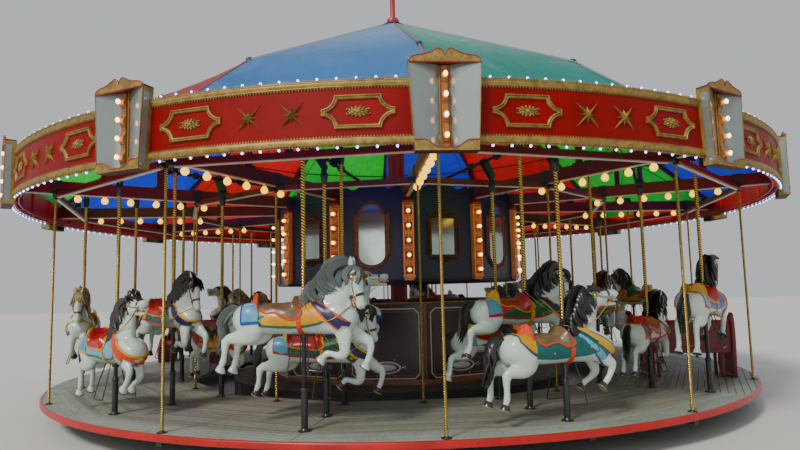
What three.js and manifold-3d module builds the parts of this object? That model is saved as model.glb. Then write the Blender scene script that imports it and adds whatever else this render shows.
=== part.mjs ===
// Fairground carousel: a three-abreast jumping-horse roundabout in twelve bays.
// Millimetres, +Z up, origin on the centre pole at ground level.
// Bay angles are counted from -Y towards +X, which is also the way the horses run.
import * as THREE from 'three';
import { mergeVertices } from 'three/addons/utils/BufferGeometryUtils.js';
import Module from 'manifold-3d';

const wasm = await Module();
wasm.setup();

// ---- driving dimensions ----
const BAYS = 12;
const STEP = 360 / BAYS;
const ROD_ANGLE = 4.2;            // first sweep and its drop rods
const ROW_ANGLE = 19.2;           // first row of horses, half a bay on
const GAP = 0.3;                  // clearance between touching pieces

const DECK_R = 5486;              // 36 ft platform
const DECK_IN = 3450;
const DECK_TOP = 330;
const DECK_T = 45;
const RIM_T = 34;
const RIM_H = 70;
const RING_R = { outer: 5030, middle: 4320, inner: 3620 };   // horse poles

const SLEEVE_R = 33;
const SLEEVE_BORE = 28.5;
const SLEEVE_TOP = 740;
const FRAME_Z = 205;              // underside of the rings below the deck

const PLINTH_R = 2800;
const DRUM_LOW_R = 2200;
const DRUM_LOW_TOP = 1480;
const DRUM_LOW_TURN = 5.2;         // the fixed drum's corners, past those of the turning frame
const DRUM_R = 2100;
const DRUM_BOT = 1770;
const DRUM_CREST = 3250;           // top of the drum's panels between the radial beams
const PILASTER_W = 165;

const MAST_R = 150;
const MAST_SHOULDER = 6180;
const FLAG_TOP = 7700;

const SWEEP_Z = 3030;             // underside of the radial beams
const SWEEP_H = 160;
const SWEEP_W = 90;
const SWEEP_END = 5852;

const CHORD_H = 60;                // depth of the chord beams below the radial beams
const CHORD_RISE = 10;             // and their height between them
const CHORD_W = 70;
const OUT_ROD_R = 5400;
const IN_ROD_R = 3560;
const ROD_DIA = 30;

const CRANK_Z = 3240;
const CRANK_OFFSET = 100;
const THROW = 180;
const POLE_R = 24;

const BOARD_R = 5888;
const BOARD_T = 30;
const BOARD_BOT = 2916;
const BOARD_TOP = 3494;
const SHIELD_R = 6002;

const PEAK = [120, 6548];
const KINK = [4100, 4540];
const EAVE = [5856, 3226];
const CANVAS_T = 12;

const BELLY = 1080;               // belly height at mid stroke

// ---- helpers ----
const rad = (d) => (d * Math.PI) / 180;

function toSolid(geometry) {
  const g = geometry.clone();
  for (const name of Object.keys(g.attributes)) if (name !== 'position') g.deleteAttribute(name);
  const m = mergeVertices(g, 1e-3);
  return new wasm.Manifold(new wasm.Mesh({
    numProp: 3,
    vertProperties: new Float32Array(m.attributes.position.array),
    triVerts: new Uint32Array(m.index.array),
  }));
}

function toGeometry(solid) {
  const mesh = solid.getMesh();
  const g = new THREE.BufferGeometry();
  g.setAttribute('position', new THREE.BufferAttribute(new Float32Array(mesh.vertProperties), 3));
  g.setIndex(new THREE.BufferAttribute(new Uint32Array(mesh.triVerts), 1));
  g.computeVertexNormals();
  return g;
}

function join(list) {
  let all = toSolid(list[0]);
  for (const g of list.slice(1)) all = all.add(toSolid(g));
  return toGeometry(all);
}

function box(x0, x1, y0, y1, z0, z1) {
  return new THREE.BoxGeometry(x1 - x0, y1 - y0, z1 - z0)
    .translate((x0 + x1) / 2, (y0 + y1) / 2, (z0 + z1) / 2);
}

function turned(geometry, degrees) {
  return geometry.clone().rotateZ(rad(degrees));
}

// a closed profile of [radius, z] points, counter-clockwise, turned about +Z
function ring(profile, segments, startAngle = 0) {
  const pts = profile.map(([r, z]) => new THREE.Vector2(r, z));
  if (profile[0][0] > 1e-6) pts.push(pts[0].clone());
  const g = new THREE.LatheGeometry(pts, segments, 0, Math.PI * 2);
  g.rotateX(Math.PI / 2);
  return g.rotateZ(rad(startAngle));
}

// an upright prism from a plan polygon
function prism(points, z0, z1) {
  const shape = new THREE.Shape(points.map(([x, y]) => new THREE.Vector2(x, y)));
  return new THREE.ExtrudeGeometry(shape, { depth: z1 - z0, bevelEnabled: false }).translate(0, 0, z0);
}

// a plate from a side outline in x and z, with its thickness along y
function plate(points, y0, y1) {
  const shape = new THREE.Shape(points.map(([x, z]) => new THREE.Vector2(x, z)));
  return new THREE.ExtrudeGeometry(shape, { depth: y1 - y0, bevelEnabled: false })
    .rotateX(Math.PI / 2).translate(0, y1, 0);
}

// a plate from an outline in radius and z, pointing to angle 0, thickness along x
function radialPlate(points, width) {
  const shape = new THREE.Shape(points.map(([r, z]) => new THREE.Vector2(r, z)));
  return new THREE.ExtrudeGeometry(shape, { depth: width, bevelEnabled: false })
    .rotateX(Math.PI / 2).translate(0, width / 2, 0).rotateZ(-Math.PI / 2);
}

function rod(r, z0, z1, sides, x = 0, y = 0) {
  const g = new THREE.CylinderGeometry(r, r, z1 - z0, sides);
  return g.rotateX(Math.PI / 2).rotateZ(Math.PI / sides).translate(x, y, (z0 + z1) / 2);
}

function wedge(a0, a1, z0, z1) {
  const r = 9000;
  const p = (a) => [r * Math.sin(rad(a)), -r * Math.cos(rad(a))];
  const pts = [[0, 0]];
  for (let i = 0; i <= 4; i++) pts.push(p(a0 + ((a1 - a0) * i) / 4));
  return prism(pts, z0, z1);
}

function polar(r, degrees) {
  return [r * Math.sin(rad(degrees)), -r * Math.cos(rad(degrees))];
}

const carousel = new THREE.Group();

function add(name, geometry, colour, roughness = 0.5, metalness = 0) {
  const mesh = new THREE.Mesh(geometry, new THREE.MeshStandardMaterial({ color: colour, roughness, metalness }));
  mesh.name = name;
  carousel.add(mesh);
  return mesh;
}

const COLOUR = {
  cream: 0xd9c7a2, maroon: 0x4a1216, red: 0x9c1a1c, navy: 0x1c2452, gold: 0xb98a3a, black: 0x17171a,
  deck: 0x5f6a68, white: 0xd8dcd4, canvas: 0x6c8f97, brass: 0xb08a3c, plinth: 0x1b1b1d,
};

const CORNER = 1 / Math.cos(rad(STEP / 2));
const bays = [...Array(BAYS).keys()];
const rodAngles = bays.map((k) => ROD_ANGLE + STEP * k);

// twelve-sided rings have their corners at the sweeps
function ring12(profile) {
  return ring(profile, BAYS, ROD_ANGLE);
}

// ---- fixed centre ----
add('base_plinth', ring12([
  [MAST_R + 12, 285], [PLINTH_R - 60, 285], [PLINTH_R - 60, 0], [PLINTH_R, 0],
  [PLINTH_R, DECK_TOP], [MAST_R + 12, DECK_TOP],
]), COLOUR.plinth, 0.8);

add('centre_pole', ring([
  [0, 0], [420, 0], [420, 60], [MAST_R, 140], [MAST_R, MAST_SHOULDER], [95, MAST_SHOULDER],
  [95, 6600], [48, 6690], [44, FLAG_TOP - 260], [70, FLAG_TOP - 240], [70, FLAG_TOP - 200],
  [34, FLAG_TOP - 180], [75, FLAG_TOP - 100], [52, FLAG_TOP - 30], [0, FLAG_TOP],
], 12), COLOUR.red, 0.5);

add('centre_enclosure', ring([
  [DRUM_LOW_R - 36, DECK_TOP + GAP], [DRUM_LOW_R, DECK_TOP + GAP],
  [DRUM_LOW_R, DRUM_LOW_TOP], [DRUM_LOW_R - 36, DRUM_LOW_TOP],
], BAYS, ROD_ANGLE + DRUM_LOW_TURN), COLOUR.maroon, 0.5);

// ---- turning frame ----
{
  const parts = [ring([
    [MAST_R + 12, SWEEP_Z], [470, SWEEP_Z], [470, SWEEP_Z + SWEEP_H], [MAST_R + 12, SWEEP_Z + SWEEP_H],
  ], BAYS, ROD_ANGLE)];
  for (const a of rodAngles) {
    parts.push(turned(box(-SWEEP_W / 2, SWEEP_W / 2, -SWEEP_END, -400, SWEEP_Z, SWEEP_Z + SWEEP_H), a));
  }
  add('sweeps', join(parts), COLOUR.maroon, 0.5);
}

// a ring of chord beams, notched under each radial beam, with a drop rod at each corner
function rodRing(radius, height) {
  let ringBeam = toSolid(ring12([
    [radius - CHORD_W / 2, SWEEP_Z - GAP - height], [radius + CHORD_W / 2, SWEEP_Z - GAP - height],
    [radius + CHORD_W / 2, SWEEP_Z + CHORD_RISE], [radius - CHORD_W / 2, SWEEP_Z + CHORD_RISE],
  ]));
  for (const a of rodAngles) {
    const [x, y] = polar(radius, a);
    const half = SWEEP_W / 2 + GAP;
    ringBeam = ringBeam
      .subtract(toSolid(turned(box(-half, half, -radius - 200, -radius + 200, SWEEP_Z - GAP, SWEEP_Z + 300), a)))
      .add(toSolid(rod(ROD_DIA / 2, DECK_TOP + GAP, SWEEP_Z - 20, 6, x, y)));
  }
  return toGeometry(ringBeam);
}
add('outer_ring_and_rods', rodRing(OUT_ROD_R, CHORD_H), COLOUR.brass, 0.35, 0.9);
add('inner_ring_and_rods', rodRing(IN_ROD_R, CHORD_H), COLOUR.brass, 0.35, 0.9);

// ---- platform ----
function circle(path, r, sides, start, clockwise, cx = 0, cy = 0) {
  for (let i = 0; i < sides; i++) {
    const a = rad(start) + (clockwise ? -1 : 1) * (i * 2 * Math.PI) / sides;
    const x = cx + r * Math.cos(a);
    const y = cy + r * Math.sin(a);
    if (i === 0) path.moveTo(x, y); else path.lineTo(x, y);
  }
  path.closePath();
  return path;
}

const CHARIOT_ROWS = [2, 8];
const rows = bays.map((k) => ({ k, angle: ROW_ANGLE + STEP * k })).filter(({ k }) => !CHARIOT_ROWS.includes(k));

{
  const outline = circle(new THREE.Shape(), DECK_R - RIM_T - GAP, 36, ROD_ANGLE, false);
  outline.holes.push(circle(new THREE.Path(), DECK_IN, 24, ROD_ANGLE, true));
  for (const { angle } of rows) {
    for (const r of Object.values(RING_R)) {
      const [x, y] = polar(r, angle);
      outline.holes.push(circle(new THREE.Path(), SLEEVE_R + 1.5, 6, angle, true, x, y));
    }
  }
  const deck = new THREE.ExtrudeGeometry(outline, { depth: DECK_T, bevelEnabled: false })
    .translate(0, 0, DECK_TOP - DECK_T);
  add('platform_deck', deck, COLOUR.deck, 0.7);
  add('platform_rim', ring([
    [DECK_R - RIM_T, DECK_TOP - RIM_H], [DECK_R, DECK_TOP - RIM_H], [DECK_R, DECK_TOP], [DECK_R - RIM_T, DECK_TOP],
  ], 36, ROD_ANGLE), COLOUR.red, 0.5);
}

for (const [name, r] of Object.entries(RING_R)) {
  const c = CORNER;
  const base = ring12([
    [(r - 45) * c, FRAME_Z], [(r + 45) * c, FRAME_Z],
    [(r + 45) * c, DECK_TOP - DECK_T - GAP], [(r - 45) * c, DECK_TOP - DECK_T - GAP],
  ]);
  let solid = toSolid(base);
  for (const { angle } of rows) {
    const [x, y] = polar(r, angle);
    const tube = (radius, z0, z1) => rod(radius, z0, z1, 6).rotateZ(rad(angle)).translate(x, y, 0);
    solid = solid.add(toSolid(tube(SLEEVE_R, FRAME_Z + 15, SLEEVE_TOP)))
      .subtract(toSolid(tube(SLEEVE_BORE, FRAME_Z - 40, SLEEVE_TOP + 40)));
  }
  add(`pole_sleeves_${name}`, toGeometry(solid), COLOUR.black, 0.5);
}

// ---- crank shafts over each row ----
function throwOf(row, place) {
  // +1 high, 0 middle of the stroke, -1 low, at rest
  const outer = { 11: 1, 10: -1, 0: -1, 1: 1, 3: 1, 4: 0, 5: -1, 6: 1, 7: 0, 9: 0 }[row];
  return place === 'middle' ? -outer : outer;
}

{
  const parts = [ring([
    [940, CRANK_Z - 40], [1060, CRANK_Z - 40], [1060, CRANK_Z + 40], [940, CRANK_Z + 40],
  ], BAYS, ROD_ANGLE)];
  for (const { k, angle } of rows) {
    const x0 = -CRANK_OFFSET;
    parts.push(turned(box(x0 - 22, x0 + 22, -5180, -985, CRANK_Z - 22, CRANK_Z + 22), angle));
    parts.push(turned(box(x0 - 31, x0 + 31, -5192, -5120, SWEEP_Z + CHORD_RISE + GAP, CRANK_Z + 5), angle));
    for (const [place, r] of Object.entries(RING_R)) {
      const dz = throwOf(k, place) * THROW;
      const length = Math.hypot(CRANK_OFFSET, dz) + 30;
      const arm = box(-26, length, -8, 8, -26, 26)
        .rotateY(-Math.atan2(dz, CRANK_OFFSET)).translate(x0, -(r - POLE_R - 16), CRANK_Z);
      parts.push(turned(arm, angle));
    }
  }
  add('crankshafts', join(parts), COLOUR.black, 0.5, 0.3);
}

// ---- upper drum with its pilasters ----
{
  const top = SWEEP_Z - GAP;
  const parts = [ring12([
    [DRUM_R - 36, DRUM_BOT], [DRUM_R, DRUM_BOT], [DRUM_R, top], [DRUM_R - 36, top],
  ])];
  for (const a of rodAngles) {
    parts.push(turned(box(-PILASTER_W / 2, PILASTER_W / 2, -(DRUM_R + 42), -(DRUM_R - 60), 1870, 2940), a));
  }
  // the panels rise between the radial beams, with a slot for the crank shaft
  const face = DRUM_R / CORNER;
  for (const k of bays) {
    for (const [x0, x1] of [[-475, -CRANK_OFFSET - 30], [-CRANK_OFFSET + 30, 475]]) {
      parts.push(turned(box(x0, x1, -face, -face + 34, top - 60, DRUM_CREST), ROW_ANGLE + STEP * k));
    }
  }
  add('upper_drum', join(parts), COLOUR.navy, 0.5);
}

// ---- rounding boards and shields ----
{
  const band = toSolid(ring([
    [BOARD_R - BOARD_T, BOARD_BOT], [BOARD_R, BOARD_BOT], [BOARD_R, BOARD_TOP], [BOARD_R - BOARD_T, BOARD_TOP],
  ], 48, ROD_ANGLE));
  const shieldPlan = (w) => [
    [w, -(BOARD_R - 12)], [-w, -(BOARD_R - 12)], [-w, -(SHIELD_R - 2)], [-w + 30, -SHIELD_R],
    [-40, -(SHIELD_R - 95)], [-40, -SHIELD_R], [40, -SHIELD_R], [40, -(SHIELD_R - 95)],
    [w - 30, -SHIELD_R], [w, -(SHIELD_R - 2)],
  ];
  const body = prism(shieldPlan(310), 2828, 3585);
  const pos = body.attributes.position;
  for (let i = 0; i < pos.count; i++) {
    if (Math.abs(pos.getX(i)) > 100) pos.setX(i, pos.getX(i) * (pos.getZ(i) < 3000 ? 275 / 310 : 1));
  }
  const crest = plate([
    [-300, 3569], [300, 3569], [300, 3618], [190, 3642], [95, 3692], [55, 3702], [0, 3652],
    [-55, 3702], [-95, 3692], [-190, 3642], [-300, 3618],
  ], -SHIELD_R, -SHIELD_R + 70);
  const shield = toSolid(body).add(toSolid(crest));
  const shieldMesh = toGeometry(shield);
  for (let q = 0; q < 4; q++) {
    const a0 = ROD_ANGLE - STEP / 2 + q * 90;
    let part = band.intersect(toSolid(wedge(a0 + 0.003, a0 + 90 - 0.003, 2700, 3600)));
    for (let i = 0; i < 3; i++) part = part.add(toSolid(turned(shieldMesh, a0 + STEP / 2 + i * STEP)));
    add(`rounding_board_${q + 1}`, toGeometry(part), COLOUR.red, 0.4);
  }
}

// ---- roof ----
{
  const sheet = toSolid(ring12([
    [PEAK[0], PEAK[1] - CANVAS_T], [KINK[0], KINK[1] - CANVAS_T - 2], [EAVE[0], EAVE[1] - CANVAS_T], EAVE, KINK, PEAK,
  ]));
  for (let q = 0; q < 4; q++) {
    const a0 = ROD_ANGLE + q * 90;
    const part = sheet.intersect(toSolid(wedge(a0 + 0.003, a0 + 90 - 0.003, 3000, 7000)));
    add(`roof_canvas_${q + 1}`, toGeometry(part), COLOUR.canvas, 0.8);
  }
  const under = (r) => (r < KINK[0]
    ? PEAK[1] + ((r - PEAK[0]) * (KINK[1] - PEAK[1])) / (KINK[0] - PEAK[0])
    : KINK[1] + ((r - KINK[0]) * (EAVE[1] - KINK[1])) / (EAVE[0] - KINK[0])) - CANVAS_T - 8;
  const floor = SWEEP_Z + SWEEP_H + GAP;
  const rafter = radialPlate([
    [180, under(180)], [180, under(180) - 150], [4065, under(4065) - 90], [4065, floor], [4135, floor],
    [4135, under(4135) - 90], [5740, under(5740) - 80], [5740, floor], [5800, floor], [5800, under(5800)],
    [4100, under(4100)],
  ], 50);
  const parts = [ring([
    [98, MAST_SHOULDER + 2], [330, MAST_SHOULDER + 2], [330, 6418], [98, 6524],
  ], BAYS, ROD_ANGLE)];
  for (const a of rodAngles) parts.push(turned(rafter, a));
  add('roof_frame', join(parts), COLOUR.maroon, 0.5);
}

// ---- chariots: a bench between two scrolled side boards, at the rear of its bay ----
{
  const side = [
    [-1300, 0], [-640, 0], [-600, 180], [-640, 380], [-760, 500], [-1000, 580], [-1180, 860], [-1290, 900],
    [-1345, 700], [-1335, 300],
  ].map(([x, z]) => [x, z + DECK_TOP + GAP]);
  const z = DECK_TOP;
  const chariot = join([
    plate(side, -5045, -5010),
    plate(side, -3925, -3890),
    box(-1250, -780, -5020, -3910, z + 385, z + 425),
    box(-1290, -1250, -5020, -3910, z + 340, z + 800),
  ]);
  CHARIOT_ROWS.forEach((k, i) => {
    const mesh = add(`chariot_${i + 1}`, chariot, COLOUR.maroon, 0.5);
    mesh.rotation.z = rad(ROW_ANGLE + STEP * k);
  });
}

// ---- horses: one closed body each, carved figure and pole together ----
// local frame: x forward, y across, z up from the belly; the pole is at x = 0
function horse(s) {
  const barrel = new THREE.LatheGeometry([
    new THREE.Vector2(0, -530), new THREE.Vector2(160, -420),
    new THREE.Vector2(160, 60), new THREE.Vector2(175, 350), new THREE.Vector2(0, 520),
  ], 6).rotateZ(-Math.PI / 2).scale(1, 1.0, 1.12).translate(-60, 0, 185);
  const neck = plate([
    [300, 60], [490, 330], [560, 420], [730, 320], [790, 370], [520, 720], [420, 690], [120, 280],
  ], -60, 60);
  const front = (dx, dz) => [
    [250, 120], [440, 170], [590 + dx, 40 + dz], [500 + dx, -200 + dz], [390 + dx, -235 + dz], [490 + dx, -10 + dz],
  ];
  const hind = (dx, dz) => [
    [-240, 60], [-480, 220], [-700 + dx, -50 + dz], [-790 + dx, -370 + dz], [-690 + dx, -400 + dz],
    [-600 + dx, -140 + dz],
  ];
  const tail = plate([[-480, 220], [-560, 330], [-690, 290], [-790, 60], [-720, -80]], -36, 36);
  const parts = [
    barrel, neck, tail,
    plate(front(0, 0), -125, -66), plate(front(-70, 50), 66, 125),
    plate(hind(0, 0), -130, -67), plate(hind(50, 30), 67, 130),
  ].map((g) => g.scale(s, s, s));
  parts.push(rod(POLE_R, -600, CRANK_Z - BELLY + 30, 6));
  return join(parts);
}

const HORSES = { outer: horse(1.0), middle: horse(0.93), inner: horse(0.84) };
for (const { k, angle } of rows) {
  for (const place of ['outer', 'middle', 'inner']) {
    const mesh = add(`horse_${String(k + 1).padStart(2, '0')}_${place}`, HORSES[place], COLOUR.white, 0.3);
    const [x, y] = polar(RING_R[place], angle);
    mesh.position.set(x, y, BELLY + throwOf(k, place) * THROW);
    mesh.rotation.z = rad(angle);
  }
}

export default carousel;
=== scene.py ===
import math

import bmesh
import bpy
import numpy as np
from mathutils import Matrix, Vector
from mathutils.bvhtree import BVHTree


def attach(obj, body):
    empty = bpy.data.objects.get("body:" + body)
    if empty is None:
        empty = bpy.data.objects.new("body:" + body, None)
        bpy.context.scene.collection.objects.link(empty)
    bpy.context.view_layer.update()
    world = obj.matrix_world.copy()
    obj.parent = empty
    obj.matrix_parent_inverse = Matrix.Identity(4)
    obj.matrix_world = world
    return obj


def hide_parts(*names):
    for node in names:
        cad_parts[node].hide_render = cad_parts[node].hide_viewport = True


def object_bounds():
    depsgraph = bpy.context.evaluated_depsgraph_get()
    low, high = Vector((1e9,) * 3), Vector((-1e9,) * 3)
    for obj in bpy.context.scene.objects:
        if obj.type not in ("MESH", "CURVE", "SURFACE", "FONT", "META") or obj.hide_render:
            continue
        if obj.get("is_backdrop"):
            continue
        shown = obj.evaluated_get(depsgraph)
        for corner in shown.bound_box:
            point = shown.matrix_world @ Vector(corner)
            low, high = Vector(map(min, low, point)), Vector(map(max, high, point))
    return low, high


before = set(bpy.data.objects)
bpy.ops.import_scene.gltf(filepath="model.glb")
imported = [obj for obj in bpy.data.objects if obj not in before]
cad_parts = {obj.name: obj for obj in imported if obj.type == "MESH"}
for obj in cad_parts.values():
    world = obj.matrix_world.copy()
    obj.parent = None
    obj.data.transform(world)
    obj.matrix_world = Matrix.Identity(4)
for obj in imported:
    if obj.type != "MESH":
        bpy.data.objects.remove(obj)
CAD_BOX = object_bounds()

# ------------------------------------------------------------------ sizes, metres
ROD0 = 4.2            # first radial beam and its rods, degrees
ROW0 = 19.2           # first row of horses
RODS = [ROD0 + 30 * k for k in range(12)]
RINGS = {"outer": 5.03, "middle": 4.32, "inner": 3.62}
DECK_R, DECK_IN, DECK_TOP = 5.486, 3.45, 0.33
BOARD_R, SHIELD_R = 5.888, 6.002
SWEEP_Z, SWEEP_H = 3.03, 0.16
CRANK_Z, THROW, CRANK_OFF = 3.24, 0.18, 0.10
C15 = math.cos(math.radians(15))

# ------------------------------------------------------------------ camera
def look():
    f, yaw, pitch, roll = 628.09, 0.0040, 0.1035, -0.0234
    cy_, sy = math.cos(yaw), math.sin(yaw)
    cp, sp = math.cos(pitch), math.sin(pitch)
    fwd = Vector((sy * cp, cy_ * cp, sp))
    right = Vector((cy_, -sy, 0))
    up = right.cross(fwd)
    r2 = right * math.cos(roll) + up * math.sin(roll)
    u2 = -right * math.sin(roll) + up * math.cos(roll)
    cam = bpy.data.cameras.new("camera")
    cam.sensor_fit = "HORIZONTAL"
    cam.sensor_width = 36.0
    cam.lens = 36.0 * f / 800.0
    cam.clip_end = 400
    ob = bpy.data.objects.new("camera", cam)
    m = Matrix.Identity(4)
    for i in range(3):
        m[i][0], m[i][1], m[i][2] = r2[i], u2[i], -fwd[i]
    m[0][3], m[1][3], m[2][3] = 0.0, -11.187, 1.663
    ob.matrix_world = m
    bpy.context.scene.collection.objects.link(ob)
    bpy.context.scene.camera = ob


look()


# ------------------------------------------------------------------ mesh helpers
class Geo:
    """Collects vertices, faces and a material number for each face."""

    def __init__(self):
        self.v, self.f, self.m, self.s, self.n = [], [], [], [], 0

    def add(self, verts, faces, mat=0, smooth=True):
        verts = np.asarray(verts, float).reshape(-1, 3)
        self.v.append(verts)
        base = self.n
        self.f.extend([tuple(base + i for i in f) for f in faces])
        self.m.extend([mat] * len(faces) if np.isscalar(mat) else list(mat))
        self.s.extend([smooth] * len(faces))
        self.n += len(verts)
        return self

    def verts(self):
        return np.concatenate(self.v) if self.v else np.zeros((0, 3))

    def transform(self, fn):
        self.v = [fn(self.verts())]
        return self

    def merge(self, other, matrix=None, remap=None):
        v = other.verts()
        if matrix is not None:
            m = np.array(matrix)
            v = v @ m[:3, :3].T + m[:3, 3]
        self.v.append(v)
        base = self.n
        flip = matrix is not None and np.linalg.det(np.array(matrix)[:3, :3]) < 0
        for f in other.f:
            f = tuple(base + i for i in f)
            self.f.append(f[::-1] if flip else f)
        self.m.extend([remap[i] if remap else i for i in other.m])
        self.s.extend(other.s)
        self.n += len(v)
        return self

    def mesh(self, name, materials=()):
        me = bpy.data.meshes.new(name)
        v = self.verts()
        me.from_pydata([tuple(p) for p in v], [], self.f)
        for mat in materials:
            me.materials.append(mat)
        me.polygons.foreach_set("material_index", np.array(self.m, np.int32))
        me.polygons.foreach_set("use_smooth", np.array(self.s, bool))
        me.update()
        return me

    def object(self, name, materials=()):
        ob = bpy.data.objects.new(name, self.mesh(name, materials))
        bpy.context.scene.collection.objects.link(ob)
        return ob


def frames(points, up=(0, 0, 1)):
    """Tangent, side and normal at each point of a path, with the side kept steady."""
    p = np.asarray(points, float)
    t = np.gradient(p, axis=0)
    t /= np.linalg.norm(t, axis=1)[:, None] + 1e-12
    side = np.cross(t[0], up)
    if np.linalg.norm(side) < 1e-3:
        side = np.cross(t[0], (1, 0, 0))
    side /= np.linalg.norm(side)
    out = []
    for i in range(len(p)):
        side = side - t[i] * (side @ t[i])
        side /= np.linalg.norm(side)
        out.append((t[i], side.copy(), np.cross(side, t[i])))
    return out


def smooth_path(points, n):
    """A Catmull-Rom curve through rows of numbers, of n rows."""
    p = np.asarray(points, float)
    if len(p) == 2:
        s = np.linspace(0, 1, n)[:, None]
        return p[0] * (1 - s) + p[1] * s
    q = np.vstack([2 * p[0] - p[1], p, 2 * p[-1] - p[-2]])
    out = []
    for s in np.linspace(0, len(p) - 1, n):
        i = min(int(s), len(p) - 2)
        u = s - i
        a, b, c, d = q[i], q[i + 1], q[i + 2], q[i + 3]
        out.append(0.5 * (2 * b + (c - a) * u + (2 * a - 5 * b + 4 * c - d) * u * u + (3 * b - a - 3 * c + d) * u ** 3))
    return np.array(out)


def loft(sections, n=20, cap=True):
    """sections: rows of closed loops (k, n, 3). Returns verts and faces of a closed skin."""
    k = len(sections)
    v = np.concatenate(sections)
    n = len(sections[0])
    f = []
    for i in range(k - 1):
        for j in range(n):
            a, b = i * n + j, i * n + (j + 1) % n
            f.append((a, b, b + n, a + n))
    if cap:
        v = np.vstack([v, sections[0].mean(0), sections[-1].mean(0)])
        c0, c1 = k * n, k * n + 1
        for j in range(n):
            f.append((c0, (j + 1) % n, j))
            f.append((c1, (k - 1) * n + j, (k - 1) * n + (j + 1) % n))
    return v, f


def tube(path, radii, n=12, up=(0, 1, 0), flat=1.0, twist=0.0):
    """A tube along a path. radii is one number, or one or two numbers a point: across and along the normal."""
    p = np.asarray(path, float)
    r = np.asarray(radii, float)
    if r.ndim == 0:
        r = np.full((len(p), 2), float(r))
    elif r.ndim == 1:
        r = np.stack([r, r * flat], 1)
    a = np.linspace(0, 2 * np.pi, n, endpoint=False)
    loops = []
    for i, (t, s, m) in enumerate(frames(p, up)):
        w = a + twist * i
        loops.append(p[i] + np.outer(np.cos(w) * r[i, 0], s) + np.outer(np.sin(w) * r[i, 1], m))
    v, f = loft(loops)
    return v, f


def body_part(rows, n=24, count=24, y=0.0):
    """rows: x, z, half depth in the plane, half width, along a curve in the x-z plane. Returns a closed skin."""
    q = smooth_path(rows, count)
    p = np.stack([q[:, 0], np.full(len(q), 0.0), q[:, 1]], 1)
    if q.shape[1] > 4:
        p[:, 1] = q[:, 4]
    t = np.gradient(p, axis=0)
    t /= np.linalg.norm(t, axis=1)[:, None]
    side = np.array([0, 1.0, 0])
    a = np.linspace(0, 2 * np.pi, n, endpoint=False)
    loops = []
    for i in range(len(p)):
        nrm = np.cross(t[i], side)
        nrm /= np.linalg.norm(nrm)
        sd = np.cross(nrm, t[i])
        loops.append(p[i] + np.outer(np.cos(a) * max(q[i, 3], 0.002), sd) + np.outer(np.sin(a) * max(q[i, 2], 0.002), nrm))
    return loft(loops)


def remeshed(geo, voxel, smooth=6, keep=None, name="tmp"):
    """One skin over overlapping closed solids."""
    ob = geo.object(name)
    mod = ob.modifiers.new("r", "REMESH")
    mod.mode = "VOXEL"
    mod.voxel_size = voxel
    mod.use_smooth_shade = True
    sm = ob.modifiers.new("s", "SMOOTH")
    sm.factor = 0.5
    sm.iterations = smooth
    dg = bpy.context.evaluated_depsgraph_get()
    me = bpy.data.meshes.new_from_object(ob.evaluated_get(dg))
    bpy.data.objects.remove(ob)
    if keep:
        o2 = bpy.data.objects.new(name, me)
        bpy.context.scene.collection.objects.link(o2)
        d = o2.modifiers.new("d", "DECIMATE")
        d.ratio = min(1.0, keep / max(1, len(me.polygons) * 2))
        dg = bpy.context.evaluated_depsgraph_get()
        me2 = bpy.data.meshes.new_from_object(o2.evaluated_get(dg))
        bpy.data.objects.remove(o2)
        bpy.data.meshes.remove(me)
        me = me2
    v = np.zeros(len(me.vertices) * 3)
    me.vertices.foreach_get("co", v)
    f = [tuple(p.vertices) for p in me.polygons]
    bpy.data.meshes.remove(me)
    return v.reshape(-1, 3), f


def lighter(geo, ratio, materials):
    """The same shape with a share of its triangles, its materials kept."""
    ob = geo.object("tmp", materials)
    d = ob.modifiers.new("d", "DECIMATE")
    d.ratio = ratio
    dg = bpy.context.evaluated_depsgraph_get()
    me = bpy.data.meshes.new_from_object(ob.evaluated_get(dg))
    old = ob.data
    bpy.data.objects.remove(ob)
    bpy.data.meshes.remove(old)
    v = np.zeros(len(me.vertices) * 3)
    me.vertices.foreach_get("co", v)
    out = Geo()
    out.v = [v.reshape(-1, 3)]
    out.n = len(me.vertices)
    out.f = [tuple(p.vertices) for p in me.polygons]
    out.m = [p.material_index for p in me.polygons]
    out.s = [p.use_smooth for p in me.polygons]
    bpy.data.meshes.remove(me)
    return out


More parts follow.
